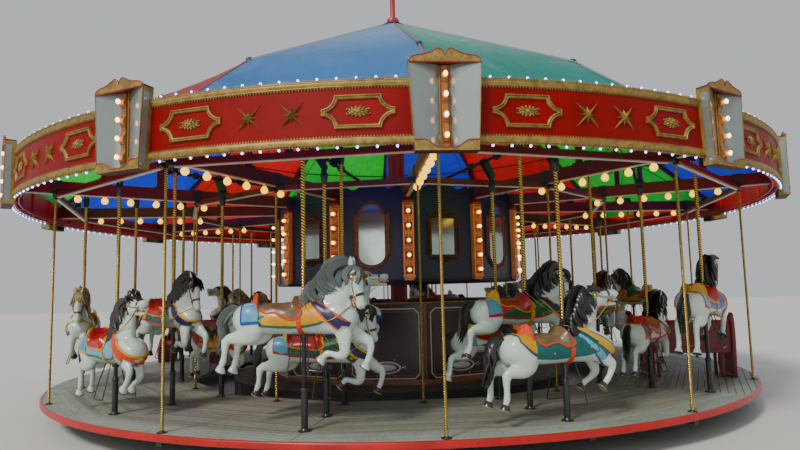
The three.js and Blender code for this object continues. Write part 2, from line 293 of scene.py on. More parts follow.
# ------------------------------------------------------------------ materials
class Nodes:
    """A short way to write a node tree."""

    def __init__(self, name):
        self.m = bpy.data.materials.new(name)
        self.m.use_nodes = True
        self.t = self.m.node_tree
        self.b = self.t.nodes["Principled BSDF"]
        self.out = self.t.nodes["Material Output"]
        self.coord = self.t.nodes.new("ShaderNodeTexCoord").outputs["Object"]

    def new(self, kind, **props):
        n = self.t.nodes.new("ShaderNode" + kind)
        for k, v in props.items():
            setattr(n, k, v)
        return n

    def link(self, a, b):
        self.t.links.new(a, b)

    def scaled(self, s, source=None):
        n = self.new("Mapping")
        n.inputs["Scale"].default_value = s if hasattr(s, "__len__") else (s, s, s)
        self.link(source or self.coord, n.inputs["Vector"])
        return n.outputs["Vector"]

    def noise(self, scale, detail=3.0, rough=0.55, stretch=(1, 1, 1), distortion=0.0):
        n = self.new("TexNoise")
        n.inputs["Scale"].default_value = scale
        n.inputs["Detail"].default_value = detail
        n.inputs["Roughness"].default_value = rough
        n.inputs["Distortion"].default_value = distortion
        self.link(self.scaled(stretch), n.inputs["Vector"])
        return n.outputs["Fac"]

    def ramp(self, fac, stops, smooth=True):
        n = self.new("ValToRGB")
        e = n.color_ramp.elements
        while len(e) < len(stops):
            e.new(0.5)
        for el, (p, c) in zip(e, stops):
            el.position = p
            el.color = (c, c, c, 1) if np.isscalar(c) else (*c[:3], 1)
        n.color_ramp.interpolation = "EASE" if smooth else "LINEAR"
        self.link(fac, n.inputs["Fac"])
        return n.outputs["Color"]

    def mix(self, fac, a, b, mode="MIX"):
        n = self.new("Mix", data_type="RGBA", blend_type=mode)
        for sock, v in ((n.inputs[0], fac), (n.inputs[6], a), (n.inputs[7], b)):
            if hasattr(v, "links") or isinstance(v, bpy.types.NodeSocket):
                self.link(v, sock)
            elif np.isscalar(v):
                sock.default_value = v
            else:
                sock.default_value = (*v[:3], 1)
        return n.outputs[2]

    def math(self, op, a, b=0.0, clamp=False):
        n = self.new("Math", operation=op, use_clamp=clamp)
        for sock, v in zip(n.inputs, (a, b)):
            if isinstance(v, bpy.types.NodeSocket):
                self.link(v, sock)
            else:
                sock.default_value = v
        return n.outputs[0]

    def bump(self, height, strength, distance):
        n = self.new("Bump")
        n.inputs["Strength"].default_value = strength
        n.inputs["Distance"].default_value = distance
        self.link(height, n.inputs["Height"])
        return n.outputs["Normal"]

    def set(self, **kw):
        for k, v in kw.items():
            s = self.b.inputs[k.replace("_", " ")]
            if isinstance(v, bpy.types.NodeSocket):
                self.link(v, s)
            elif hasattr(v, "__len__") and len(v) == 3 and s.type == "RGBA":
                s.default_value = (*v, 1)
            else:
                s.default_value = v
        return self


def shade(c, k):
    return tuple(min(1.0, x * k) for x in c[:3])


_made = {}


def paint(name, colour, rough=0.38, worn=0.35, coat=0.25, grain=0.0, dirt=0.5, scale=3.0, dust=(0.35, 0.33, 0.30), gloss=0.5):
    """Brushed enamel on wood or metal: uneven film, fine brush marks, dull patches, a little dust."""
    if name in _made:
        return _made[name]
    n = Nodes(name)
    big = n.noise(scale, 4, 0.6)
    fine = n.noise(scale * 22, 3, 0.6, stretch=(1, 1, 0.25) if grain else (1, 1, 1))
    tone = n.mix(n.ramp(big, [(0.30, 0.0), (0.70, 1.0)]), shade(colour, 1.0 - 0.28 * worn), shade(colour, 1.0 + 0.22 * worn))
    tone = n.mix(n.math("MULTIPLY", n.ramp(fine, [(0.35, 0.0), (0.75, 1.0)]), 0.22 * dirt), tone, shade(colour, 0.45))
    patches = n.ramp(n.noise(scale * 5.5, 6, 0.7, distortion=0.6), [(0.60, 0.0), (0.78, 1.0)])
    tone = n.mix(n.math("MULTIPLY", patches, 0.30 * dirt), tone, dust)
    n.set(Base_Color=tone)
    n.set(Roughness=n.math("ADD", n.math("MULTIPLY", n.ramp(big, [(0.25, 0.0), (0.8, 1.0)]), 0.16), rough - 0.04))
    n.b.inputs["Specular IOR Level"].default_value = gloss
    n.b.inputs["Coat Weight"].default_value = coat
    n.b.inputs["Coat Roughness"].default_value = 0.12
    h = n.math("ADD", n.math("MULTIPLY", fine, 0.5), n.math("MULTIPLY", n.noise(scale * 90, 2, 0.5), 0.3))
    n.set(Normal=n.bump(h, 0.22, 0.0012))
    _made[name] = n.m
    return n.m


def wood_paint(name, colour, rough=0.45, along="x", coat=0.15, dirt=0.6):
    """Painted timber: the grain shows through as fine lines along one axis."""
    if name in _made:
        return _made[name]
    n = Nodes(name)
    st = {"x": (0.12, 1, 1), "y": (1, 0.12, 1), "z": (1, 1, 0.12), "r": (0.5, 0.5, 1)}[along]
    grain = n.noise(46, 5, 0.65, stretch=st, distortion=0.3)
    big = n.noise(2.2, 4, 0.6)
    tone = n.mix(n.ramp(big, [(0.3, 0.0), (0.72, 1.0)]), shade(colour, 0.82), shade(colour, 1.18))
    tone = n.mix(n.math("MULTIPLY", n.ramp(grain, [(0.42, 0.0), (0.62, 1.0)]), 0.35 * dirt), tone, shade(colour, 0.45))
    n.set(Base_Color=tone, Roughness=n.math("ADD", n.math("MULTIPLY", grain, 0.22), rough - 0.1))
    n.b.inputs["Coat Weight"].default_value = coat
    n.b.inputs["Coat Roughness"].default_value = 0.25
    n.set(Normal=n.bump(grain, 0.30, 0.0016))
    _made[name] = n.m
    return n.m


def metal(name, colour, rough=0.25, worn=0.5, tarnish=None, scale=9.0):
    """Polished or gilded metal with tarnish in cloudy patches."""
    if name in _made:
        return _made[name]
    n = Nodes(name)
    c = n.noise(scale, 5, 0.62, distortion=0.4)
    tone = n.mix(n.math("MULTIPLY", n.ramp(c, [(0.42, 0.0), (0.74, 1.0)]), worn), colour, tarnish or shade(colour, 0.42))
    n.set(Base_Color=tone, Metallic=1.0)
    n.set(Roughness=n.math("ADD", n.math("MULTIPLY", n.ramp(c, [(0.3, 0.0), (0.8, 1.0)]), 0.25 * worn), rough))
    n.set(Normal=n.bump(n.noise(scale * 14, 3, 0.6), 0.18, 0.0008))
    _made[name] = n.m
    return n.m


def twist_metal(name, colour, tarnish, pitch, rough=0.22):
    """Twisted brass bar: slanting ridges with dark hollows between them."""
    if name in _made:
        return _made[name]
    n = Nodes(name)
    w = n.new("TexWave", wave_type="BANDS", bands_direction="Z", wave_profile="SIN")
    w.inputs["Scale"].default_value = 1.0
    w.inputs["Distortion"].default_value = 0.25
    w.inputs["Detail"].default_value = 1.0
    # a slanting comb: height with a little of the way across
    sep = n.new("SeparateXYZ")
    n.link(n.coord, sep.inputs[0])
    across = n.math("ADD", sep.outputs["X"], n.math("MULTIPLY", sep.outputs["Y"], 0.6))
    z = n.math("MULTIPLY", n.math("ADD", sep.outputs["Z"], n.math("MULTIPLY", across, 0.55)), 0.31416 / pitch)
    comb = n.new("CombineXYZ")
    n.link(z, comb.inputs["Z"])
    n.link(comb.outputs[0], w.inputs["Vector"])
    g = w.outputs["Fac"]
    c = n.noise(9.0, 5, 0.62, distortion=0.4)
    tone = n.mix(n.math("MULTIPLY", n.ramp(c, [(0.42, 0.0), (0.74, 1.0)]), 0.45), colour, tarnish)
    tone = n.mix(n.ramp(g, [(0.10, 1.0), (0.48, 0.0)]), tone, shade(tarnish, 0.5))
    n.set(Base_Color=tone, Metallic=1.0)
    n.set(Roughness=n.math("ADD", n.math("MULTIPLY", n.ramp(c, [(0.3, 0.0), (0.8, 1.0)]), 0.14), rough))
    n.set(Normal=n.bump(g, 0.9, 0.004))
    _made[name] = n.m
    return n.m


def gilt(name, colour=(0.42, 0.27, 0.07), rough=0.42):
    """Gold paint on carved timber: half metallic, dull in the hollows."""
    if name in _made:
        return _made[name]
    n = Nodes(name)
    c = n.noise(14, 5, 0.65, distortion=0.5)
    fine = n.noise(160, 2, 0.5)
    tone = n.mix(n.ramp(c, [(0.32, 0.0), (0.72, 1.0)]), shade(colour, 0.62), shade(colour, 1.25))
    tone = n.mix(n.math("MULTIPLY", n.ramp(fine, [(0.45, 0.0), (0.7, 1.0)]), 0.35), tone, shade(colour, 0.5))
    n.set(Base_Color=tone, Metallic=0.45)
    n.set(Roughness=n.math("ADD", n.math("MULTIPLY", c, 0.22), rough - 0.08))
    n.set(Normal=n.bump(n.math("ADD", fine, c), 0.25, 0.0012))
    _made[name] = n.m
    return n.m


def glow(name, colour, strength, base=(0.9, 0.8, 0.6)):
    """Frosted lamp glass that is lit from inside; used also to give lamp sockets a painted glow."""
    if name in _made:
        return _made[name]
    n = Nodes(name)
    c = n.noise(30, 2, 0.5)
    n.set(Base_Color=n.mix(c, base, shade(base, 0.9)), Roughness=0.25)
    n.set(Emission_Color=colour, Emission_Strength=strength)
    n.set(Normal=n.bump(n.noise(220, 2, 0.5), 0.05, 0.0004))
    _made[name] = n.m
    return n.m


def mirror(name, tint=(0.62, 0.70, 0.72), rough=0.06):
    """Old mirror glass, slightly clouded."""
    if name in _made:
        return _made[name]
    n = Nodes(name)
    c = n.noise(3.5, 5, 0.6)
    spots = n.ramp(n.noise(40, 4, 0.7), [(0.66, 0.0), (0.74, 1.0)])
    n.set(Base_Color=n.mix(n.math("MULTIPLY", spots, 0.25), n.mix(n.ramp(c, [(0.3, 0.0), (0.8, 1.0)]), tint, shade(tint, 0.82)), (0.35, 0.33, 0.30)))
    n.set(Metallic=0.85, Roughness=n.math("ADD", n.math("MULTIPLY", c, 0.12), rough))
    n.b.inputs["Coat Weight"].default_value = 0.6
    n.b.inputs["Coat Roughness"].default_value = 0.03
    n.set(Normal=n.bump(n.noise(1.6, 2, 0.5), 0.05, 0.01))
    _made[name] = n.m
    return n.m


def cloudy(name, tint):
    """Old silvered glass gone milky: a pale body, partly a painted reflection of a bright sky, under a glossy face."""
    if name in _made:
        return _made[name]
    n = Nodes(name)
    c = n.noise(1.8, 4, 0.6, stretch=(1, 1, 0.5))
    n.set(Base_Color=n.mix(n.ramp(c, [(0.3, 0.0), (0.75, 1.0)]), shade(tint, 0.90), shade(tint, 1.10)))
    n.set(Metallic=0.35, Roughness=0.16)
    n.b.inputs["Coat Weight"].default_value = 0.35
    n.b.inputs["Coat Roughness"].default_value = 0.05
    n.set(Normal=n.bump(n.noise(2.2, 2, 0.5), 0.04, 0.01))
    _made[name] = n.m
    return n.m


def hair(name, colour):
    """Carved and painted hair: combed grooves with lighter ridges, and painted shade in the hollows between locks."""
    if name in _made:
        return _made[name]
    n = Nodes(name)
    w = n.new("TexWave", wave_type="BANDS", bands_direction="DIAGONAL")
    w.inputs["Scale"].default_value = 24
    w.inputs["Distortion"].default_value = 9.0
    w.inputs["Detail"].default_value = 3
    w.inputs["Detail Scale"].default_value = 1.6
    n.link(n.scaled((1, 0.6, 1)), w.inputs["Vector"])
    g = w.outputs["Fac"]
    # every lock has a tone of its own, and painted shade darkens the hollows between them
    isl = n.new("NewGeometry").outputs["Random Per Island"]
    tone = n.mix(isl, shade(colour, 0.60), shade(colour, 1.50))
    tone = n.mix(n.ramp(n.noise(5.5, 4, 0.6, stretch=(1, 1, 0.5)), [(0.34, 0.30), (0.70, 0.0)]), tone, shade(colour, 0.45))
    # painted shade: concave hollows, found by pointiness, go nearly black
    hollow = n.ramp(n.new("NewGeometry").outputs["Pointiness"], [(0.42, 0.75), (0.50, 0.0)])
    tone = n.mix(hollow, tone, shade(colour, 0.15))
    n.set(Base_Color=n.mix(n.ramp(g, [(0.04, 0.35), (0.30, 0.0)]), tone, shade(colour, 0.25)))
    n.set(Roughness=0.42, Normal=n.bump(g, 0.55, 0.006))
    n.b.inputs["Coat Weight"].default_value = 0.25
    n.b.inputs["Coat Roughness"].default_value = 0.2
    _made[name] = n.m
    return n.m


def coat_paint(name, colour=(0.54, 0.64, 0.57)):
    """Glossy white enamel of the carved horses, a little yellowed and scuffed, with painted shade in the hollows."""
    if name in _made:
        return _made[name]
    n = Nodes(name)
    big = n.noise(2.6, 4, 0.6)
    scuff = n.ramp(n.noise(38, 6, 0.75, distortion=0.8), [(0.62, 0.0), (0.76, 1.0)])
    tone = n.mix(n.ramp(big, [(0.3, 0.0), (0.75, 1.0)]), shade(colour, 0.93), shade(colour, 1.06))
    # painted shade: the concave hollows, found by pointiness, are darkened towards a grey-green
    geo = n.new("NewGeometry").outputs["Pointiness"]
    hollow = n.ramp(geo, [(0.40, 1.0), (0.50, 0.0)])
    tone = n.mix(n.math("MULTIPLY", hollow, 0.45), tone, (0.20, 0.22, 0.18))
    tone = n.mix(n.math("MULTIPLY", scuff, 0.14), tone, (0.33, 0.33, 0.27))
    n.set(Base_Color=tone)
    n.set(Roughness=n.math("ADD", n.math("MULTIPLY", scuff, 0.2), 0.24))
    n.b.inputs["Coat Weight"].default_value = 0.5
    n.b.inputs["Coat Roughness"].default_value = 0.08
    n.set(Normal=n.bump(n.math("ADD", n.noise(24, 3, 0.5), n.math("MULTIPLY", n.noise(120, 2, 0.5), 0.3)), 0.10, 0.0016))
    _made[name] = n.m
    return n.m


def leather(name, colour):
    """Carved and glazed saddle colour with darker edges and fine grain."""
    if name in _made:
        return _made[name]
    n = Nodes(name)
    big = n.noise(7, 4, 0.6)
    v = n.new("TexVoronoi", feature="DISTANCE_TO_EDGE")
    v.inputs["Scale"].default_value = 210
    n.link(n.coord, v.inputs["Vector"])
    cell = n.ramp(v.outputs["Distance"], [(0.0, 0.0), (0.10, 1.0)])
    tone = n.mix(n.ramp(big, [(0.3, 0.0), (0.72, 1.0)]), shade(colour, 0.65), shade(colour, 1.35))
    n.set(Base_Color=tone, Roughness=n.math("ADD", n.math("MULTIPLY", big, 0.2), 0.24))
    n.b.inputs["Coat Weight"].default_value = 0.35
    n.b.inputs["Coat Roughness"].default_value = 0.15
    n.set(Normal=n.bump(cell, 0.12, 0.0008))
    _made[name] = n.m
    return n.m


def cloth_paint(name, colour, motif=None, size=9.0):
    """Painted blanket: woven relief, brushed colour, optionally a small repeated motif."""
    if name in _made:
        return _made[name]
    n = Nodes(name)
    big = n.noise(6, 4, 0.6)
    tone = n.mix(n.ramp(big, [(0.3, 0.0), (0.72, 1.0)]), shade(colour, 0.80), shade(colour, 1.18))
    if motif is not None:
        w = n.new("TexVoronoi", feature="F1", distance="MANHATTAN")
        w.inputs["Scale"].default_value = size
        w.inputs["Randomness"].default_value = 0.15
        n.link(n.scaled((1, 0.4, 1)), w.inputs["Vector"])
        dots = n.ramp(w.outputs["Distance"], [(0.16, 1.0), (0.19, 0.0)], smooth=False)
        tone = n.mix(n.math("MULTIPLY", dots, 0.85), tone, motif)
    fine = n.new("TexWave", wave_type="BANDS", bands_direction="Z")
    fine.inputs["Scale"].default_value = 120
    n.link(n.coord, fine.inputs["Vector"])
    n.set(Base_Color=tone, Roughness=n.math("ADD", n.math("MULTIPLY", big, 0.15), 0.30))
    n.b.inputs["Specular IOR Level"].default_value = 0.35
    n.b.inputs["Coat Weight"].default_value = 0.16
    n.b.inputs["Coat Roughness"].default_value = 0.14
    n.set(Normal=n.bump(n.math("ADD", n.math("MULTIPLY", fine.outputs["Fac"], 0.4), n.noise(30, 3, 0.5)), 0.14, 0.0012))
    _made[name] = n.m
    return n.m


def deck_boards(name, colour=(0.200, 0.205, 0.165), rim=None):
    """Worn grey-green deck paint: scuffed tracks, bare wood, boards of slightly different tone."""
    if name in _made:
        return _made[name]
    n = Nodes(name)
    isl = n.new("NewGeometry").outputs["Random Per Island"]
    big = n.noise(1.3, 5, 0.65)
    grain = n.noise(60, 5, 0.7, stretch=(0.35, 0.35, 1), distortion=0.4)
    tone = n.mix(isl, shade(colour, 0.78), shade(colour, 1.22))
    if rim is not None:
        # paler and greener towards the outer edge
        far = n.new("VectorMath", operation="LENGTH")
        n.link(n.scaled((1, 1, 0)), far.inputs[0])
        away = n.ramp(n.math("ADD", n.math("MULTIPLY", n.math("SUBTRACT", far.outputs["Value"], 5.0), 2.2), n.math("MULTIPLY", big, 0.5)), [(0.30, 0.0), (0.75, 1.0)])
        tone = n.mix(away, tone, n.mix(isl, shade(rim, 0.88), shade(rim, 1.12)))
    tone = n.mix(n.math("MULTIPLY", n.ramp(n.noise(7, 6, 0.75, distortion=0.5), [(0.50, 0.0), (0.74, 1.0)]), 0.50), tone, (0.27, 0.22, 0.15))
    tone = n.mix(n.math("MULTIPLY", n.ramp(big, [(0.35, 0.0), (0.75, 1.0)]), 0.35), tone, (0.15, 0.14, 0.11))
    tone = n.mix(n.math("MULTIPLY", n.ramp(grain, [(0.45, 0.0), (0.66, 1.0)]), 0.35), tone, shade(colour, 0.42))
    n.set(Base_Color=tone, Roughness=n.math("ADD", n.math("MULTIPLY", grain, 0.25), 0.50))
    n.set(Normal=n.bump(grain, 0.35, 0.002))
    _made[name] = n.m
    return n.m


def canvas(name, outside, inside, faded_and_lit, weave=420.0):
    """Coated canvas: bleached and with painted light outside, and the light through it makes the inside vivid."""
    if name in _made:
        return _made[name]
    n = Nodes(name)
    t = n.t
    t.nodes.remove(n.b)
    big = n.noise(0.9, 5, 0.65, distortion=0.5)
    streak = n.noise(5, 5, 0.7, stretch=(1, 1, 0.35), distortion=0.4)
    w1 = n.new("TexWave", wave_type="BANDS", bands_direction="X")
    w2 = n.new("TexWave", wave_type="BANDS", bands_direction="Y")
    for w in (w1, w2):
        w.inputs["Scale"].default_value = weave / 6
        n.link(n.coord, w.inputs["Vector"])
    cloth = n.math("ADD", w1.outputs["Fac"], w2.outputs["Fac"])
    nrm = n.bump(n.math("ADD", n.math("MULTIPLY", cloth, 0.25), n.math("MULTIPLY", streak, 1.2)), 0.25, 0.006)
    d, tr, gl = n.new("BsdfDiffuse"), n.new("BsdfTranslucent"), n.new("BsdfGlossy")
    col = n.mix(n.ramp(big, [(0.30, 0.0), (0.75, 1.0)]), shade(outside, 0.86), shade(outside, 1.10))
    # paler towards the peak: sun-bleaching plus painted light on the sky-facing upper roof; paler also in noisy patches
    sep = n.new("SeparateXYZ")
    n.link(n.coord, sep.inputs[0])
    high = n.math("MULTIPLY", n.math("SUBTRACT", sep.outputs["Z"], 4.1), 0.62, clamp=True)
    col = n.mix(n.math("MULTIPLY", n.math("ADD", high, n.math("MULTIPLY", n.ramp(n.noise(1.7, 6, 0.7, distortion=1.2), [(0.52, 0.0), (0.70, 1.0)]), 0.35)), 0.75), col, faded_and_lit)
    col = n.mix(n.math("MULTIPLY", n.ramp(streak, [(0.5, 0.0), (0.75, 1.0)]), 0.30), col, shade(outside, 0.65))
    n.link(col, d.inputs["Color"])
    tin = n.mix(n.ramp(streak, [(0.30, 0.0), (0.75, 1.0)]), inside, shade(inside, 0.72))
    n.link(tin, tr.inputs["Color"])
    gl.inputs["Roughness"].default_value = 0.42
    gl.inputs["Color"].default_value = (0.9, 0.9, 0.9, 1)
    for s in (d, tr, gl):
        n.link(nrm, s.inputs["Normal"])
    m1, m2 = n.new("MixShader"), n.new("MixShader")
    m1.inputs[0].default_value = 0.56
    m2.inputs[0].default_value = 0.045
    n.link(d.outputs[0], m1.inputs[1])
    n.link(tr.outputs[0], m1.inputs[2])
    n.link(m1.outputs[0], m2.inputs[1])
    n.link(gl.outputs[0], m2.inputs[2])
    n.link(m2.outputs[0], n.out.inputs["Surface"])
    _made[name] = n.m
    return n.m


# ------------------------------------------------------------------ the carved horse
# x forward, y to the left, z up from the belly at the pole; metres, for an outer horse
(COAT, MANE, HOOF, SHOE, SADDLE, EDGE, CLOTH, HEM, PANEL, TRIM, COLLAR, COLLAR2, STRAP, GOLD, EYE, PINK, JEWEL, BRASS,
 BLACK) = range(19)
PARTS = ["coat", "mane", "hoof", "shoe", "saddle", "edge", "cloth", "hem", "panel", "trim", "collar", "collar2", "strap",
         "gold", "eye", "pink", "jewel", "brass", "black"]

TORSO = [
    (-0.735, 0.150, 0.02, 0.02), (-0.715, 0.150, 0.085, 0.080), (-0.66, 0.150, 0.138, 0.130), (-0.56, 0.150, 0.156, 0.166),
    (-0.42, 0.146, 0.146, 0.165), (-0.22, 0.136, 0.138, 0.152), (0.0, 0.146, 0.147, 0.154), (0.16, 0.160, 0.162, 0.162),
    (0.30, 0.150, 0.160, 0.164), (0.42, 0.140, 0.140, 0.146), (0.51, 0.135, 0.105, 0.110), (0.555, 0.13, 0.03, 0.04),
]
# neck and head rows: x, z, half depth in the plane, half width. Legs carry their own y.
POSES = {
    "tucked": dict(
        neck=[(0.20, 0.12, 0.185, 0.125), (0.255, 0.25, 0.188, 0.110), (0.325, 0.37, 0.155, 0.086),
              (0.395, 0.475, 0.122, 0.068), (0.450, 0.548, 0.098, 0.058), (0.492, 0.595, 0.076, 0.048)],
        head=[(0.462, 0.632, 0.034, 0.030), (0.476, 0.606, 0.067, 0.052), (0.496, 0.543, 0.096, 0.064), (0.516, 0.479, 0.096, 0.061),
              (0.539, 0.413, 0.073, 0.050), (0.558, 0.351, 0.056, 0.042), (0.573, 0.299, 0.051, 0.043), (0.585, 0.259, 0.048, 0.042),
              (0.593, 0.230, 0.025, 0.026)],
        fore=[(-0.085, [(0.36, 0.13, 0.10, 0.058), (0.42, 0.02, 0.088, 0.058), (0.435, -0.09, 0.061, 0.045), (0.43, -0.185, 0.047, 0.040),
                        (0.375, -0.205, 0.038, 0.032), (0.30, -0.185, 0.030, 0.028), (0.255, -0.185, 0.036, 0.032)],
               (0.255, -0.185), (0.175, -0.262)),
              (0.085, [(0.38, 0.12, 0.10, 0.058), (0.47, 0.02, 0.088, 0.056), (0.555, -0.040, 0.064, 0.046), (0.632, -0.082, 0.048, 0.041),
                       (0.652, -0.145, 0.037, 0.031), (0.638, -0.215, 0.030, 0.028), (0.624, -0.258, 0.036, 0.032)],
               (0.624, -0.258), (0.575, -0.340))],
        hind=[(-0.088, [(-0.54, 0.16, 0.150, 0.085), (-0.52, 0.05, 0.140, 0.082), (-0.58, -0.005, 0.100, 0.064), (-0.672, -0.028, 0.066, 0.047),
                        (-0.752, -0.040, 0.048, 0.037), (-0.786, -0.095, 0.042, 0.033), (-0.792, -0.165, 0.030, 0.027),
                        (-0.802, -0.235, 0.031, 0.029), (-0.812, -0.268, 0.038, 0.033)], (-0.812, -0.268), (-0.852, -0.360)),
              (0.088, [(-0.52, 0.16, 0.150, 0.085), (-0.48, 0.04, 0.138, 0.082), (-0.54, -0.025, 0.098, 0.064), (-0.625, -0.053, 0.066, 0.047),
                       (-0.700, -0.068, 0.048, 0.037), (-0.736, -0.125, 0.042, 0.033), (-0.742, -0.195, 0.030, 0.027),
                       (-0.754, -0.262, 0.031, 0.029), (-0.764, -0.295, 0.038, 0.033)], (-0.764, -0.295), (-0.802, -0.385))],
        axis=((0.478, 0.610), (0.570, 0.242)), ear=(0.495, 0.638), ear_up=(0.02, 1.00),
        crest=[(0.488, 0.690), (0.432, 0.662), (0.368, 0.615), (0.285, 0.535), (0.200, 0.445), (0.14, 0.37), (0.08, 0.325)],
        flow=dict(side=[(-0.085, 0.040, 0.020), (-0.175, 0.075, -0.020), (-0.215, 0.085, -0.105), (-0.165, 0.085, -0.190), (-0.085, 0.095, -0.235)],
                  low=[(-0.045, 0.040, -0.030), (-0.080, 0.060, -0.085), (-0.055, 0.066, -0.145), (-0.075, 0.070, -0.195)],
                  top=[(-0.070, 0.040), (-0.160, 0.030), (-0.240, -0.030), (-0.265, -0.110), (-0.235, -0.165)]),
        bit=(0.550, 0.292), rein_mid=(0.36, 0.19),
    ),
    "stretched": dict(
        neck=[(0.18, 0.12, 0.185, 0.125), (0.205, 0.26, 0.185, 0.110), (0.245, 0.38, 0.150, 0.086),
              (0.29, 0.50, 0.118, 0.068), (0.335, 0.59, 0.094, 0.056), (0.365, 0.63, 0.072, 0.047)],
        head=[(0.275, 0.655, 0.035, 0.030), (0.305, 0.655, 0.066, 0.050), (0.365, 0.640, 0.096, 0.063), (0.425, 0.635, 0.094, 0.060),
              (0.49, 0.646, 0.070, 0.049), (0.55, 0.660, 0.056, 0.042), (0.60, 0.668, 0.053, 0.043), (0.645, 0.674, 0.050, 0.042),
              (0.675, 0.676, 0.026, 0.026)],
        fore=[(-0.085, [(0.34, 0.13, 0.10, 0.058), (0.40, 0.05, 0.088, 0.058), (0.455, 0.005, 0.064, 0.045), (0.50, -0.03, 0.049, 0.040),
                        (0.495, -0.09, 0.038, 0.032), (0.46, -0.155, 0.030, 0.028), (0.435, -0.19, 0.036, 0.032)],
               (0.435, -0.19), (0.36, -0.262)),
              (0.085, [(0.34, 0.13, 0.10, 0.058), (0.37, 0.03, 0.088, 0.056), (0.40, -0.05, 0.062, 0.045), (0.415, -0.12, 0.048, 0.040),
                       (0.375, -0.165, 0.038, 0.032), (0.32, -0.20, 0.030, 0.028), (0.285, -0.215, 0.036, 0.032)],
               (0.285, -0.215), (0.21, -0.29))],
        hind=[(-0.088, [(-0.52, 0.16, 0.150, 0.085), (-0.49, 0.04, 0.138, 0.082), (-0.53, -0.02, 0.100, 0.066), (-0.61, -0.04, 0.072, 0.050),
                        (-0.685, -0.06, 0.054, 0.040), (-0.715, -0.12, 0.042, 0.034), (-0.715, -0.20, 0.032, 0.029),
                        (-0.715, -0.275, 0.033, 0.030), (-0.72, -0.305, 0.037, 0.032)], (-0.72, -0.305), (-0.755, -0.40)),
              (0.088, [(-0.54, 0.16, 0.150, 0.085), (-0.55, 0.05, 0.140, 0.082), (-0.61, -0.01, 0.104, 0.066), (-0.70, -0.03, 0.074, 0.050),
                       (-0.77, -0.05, 0.054, 0.040), (-0.80, -0.11, 0.042, 0.034), (-0.80, -0.19, 0.032, 0.029),
                       (-0.80, -0.265, 0.033, 0.030), (-0.805, -0.295, 0.037, 0.032)], (-0.805, -0.295), (-0.845, -0.385))],
        axis=((0.29, 0.65), (0.66, 0.66)), ear=(0.285, 0.70), ear_up=(-0.45, 0.89),
        crest=[(0.275, 0.735), (0.225, 0.69), (0.185, 0.61), (0.145, 0.53), (0.11, 0.46), (0.08, 0.39), (0.05, 0.335)],
        flow=dict(side=[(-0.050, 0.045, 0.000), (-0.085, 0.080, -0.060), (-0.070, 0.090, -0.135), (-0.020, 0.092, -0.190), (0.020, 0.098, -0.225)],
                  low=[(-0.010, 0.040, -0.040), (-0.010, 0.060, -0.095), (0.025, 0.066, -0.150), (0.015, 0.070, -0.200)],
                  top=[(-0.050, 0.020), (-0.100, -0.010), (-0.130, -0.070), (-0.125, -0.140), (-0.100, -0.180)]),
        bit=(0.610, 0.640), rein_mid=(0.33, 0.30),
    ),
}


def blob(c, ax, ay, az, r, n=16, k=9):
    """A closed ellipsoid with its own axes and half sizes."""
    a = np.linspace(0, 2 * np.pi, n, endpoint=False)
    ax, ay, az, c = (np.array(q, float) for q in (ax, ay, az, c))
    rows = []
    for b in np.linspace(-0.985, 0.985, k):
        w = math.sqrt(1 - b * b)
        rows.append(c + ax * (r[0] * b) + np.outer(np.cos(a) * r[1] * w, ay) + np.outer(np.sin(a) * r[2] * w, az))
    return loft(rows)


def hoof(top, tip, y):
    """A pastern, a flared hoof and a thin open shoe, from the fetlock to the sole."""
    top, tip = np.array([top[0], y, top[1]]), np.array([tip[0], y, tip[1]])
    d = tip - top
    length = np.linalg.norm(d)
    d /= length
    side = np.array([0, 1.0, 0])
    fwd = np.cross(side, d)
    if fwd[0] < 0:
        fwd = -fwd

    def loop(s, rx, ry, shift=0.0, n=16):
        a = np.linspace(0, 2 * np.pi, n, endpoint=False)
        c = top + d * (length * s) + fwd * shift
        return c + np.outer(np.cos(a) * rx, fwd) + np.outer(np.sin(a) * ry, side)

    pastern = loft([loop(-0.1, 0.032, 0.029), loop(0.1, 0.032, 0.028), loop(0.35, 0.028, 0.026), loop(0.52, 0.035, 0.033)])
    wall = loft([loop(0.42, 0.030, 0.028), loop(0.47, 0.038, 0.035, 0.002), loop(0.6, 0.042, 0.038, 0.005), loop(0.9, 0.053, 0.046, 0.011),
                 loop(0.93, 0.050, 0.043, 0.011), loop(0.935, 0.034, 0.028, 0.010), loop(0.86, 0.026, 0.022, 0.010)])
    shoe = loft([loop(0.915, 0.051, 0.044, 0.011), loop(0.93, 0.057, 0.050, 0.011), loop(0.985, 0.058, 0.051, 0.012), loop(1.0, 0.054, 0.047, 0.012),
                 loop(0.99, 0.040, 0.034, 0.010), loop(0.93, 0.036, 0.030, 0.010)])
    return pastern, wall, shoe


def head_frame(P):
    (ax, az), (bx, bz) = P["axis"]
    d = np.array([bx - ax, 0, bz - az])
    d /= np.linalg.norm(d)
    up = np.cross(d, (0, 1.0, 0))
    if up @ np.array([0.3, 0, 1.0]) < 0:
        up = -up
    return np.array([ax, 0, az]), d, up


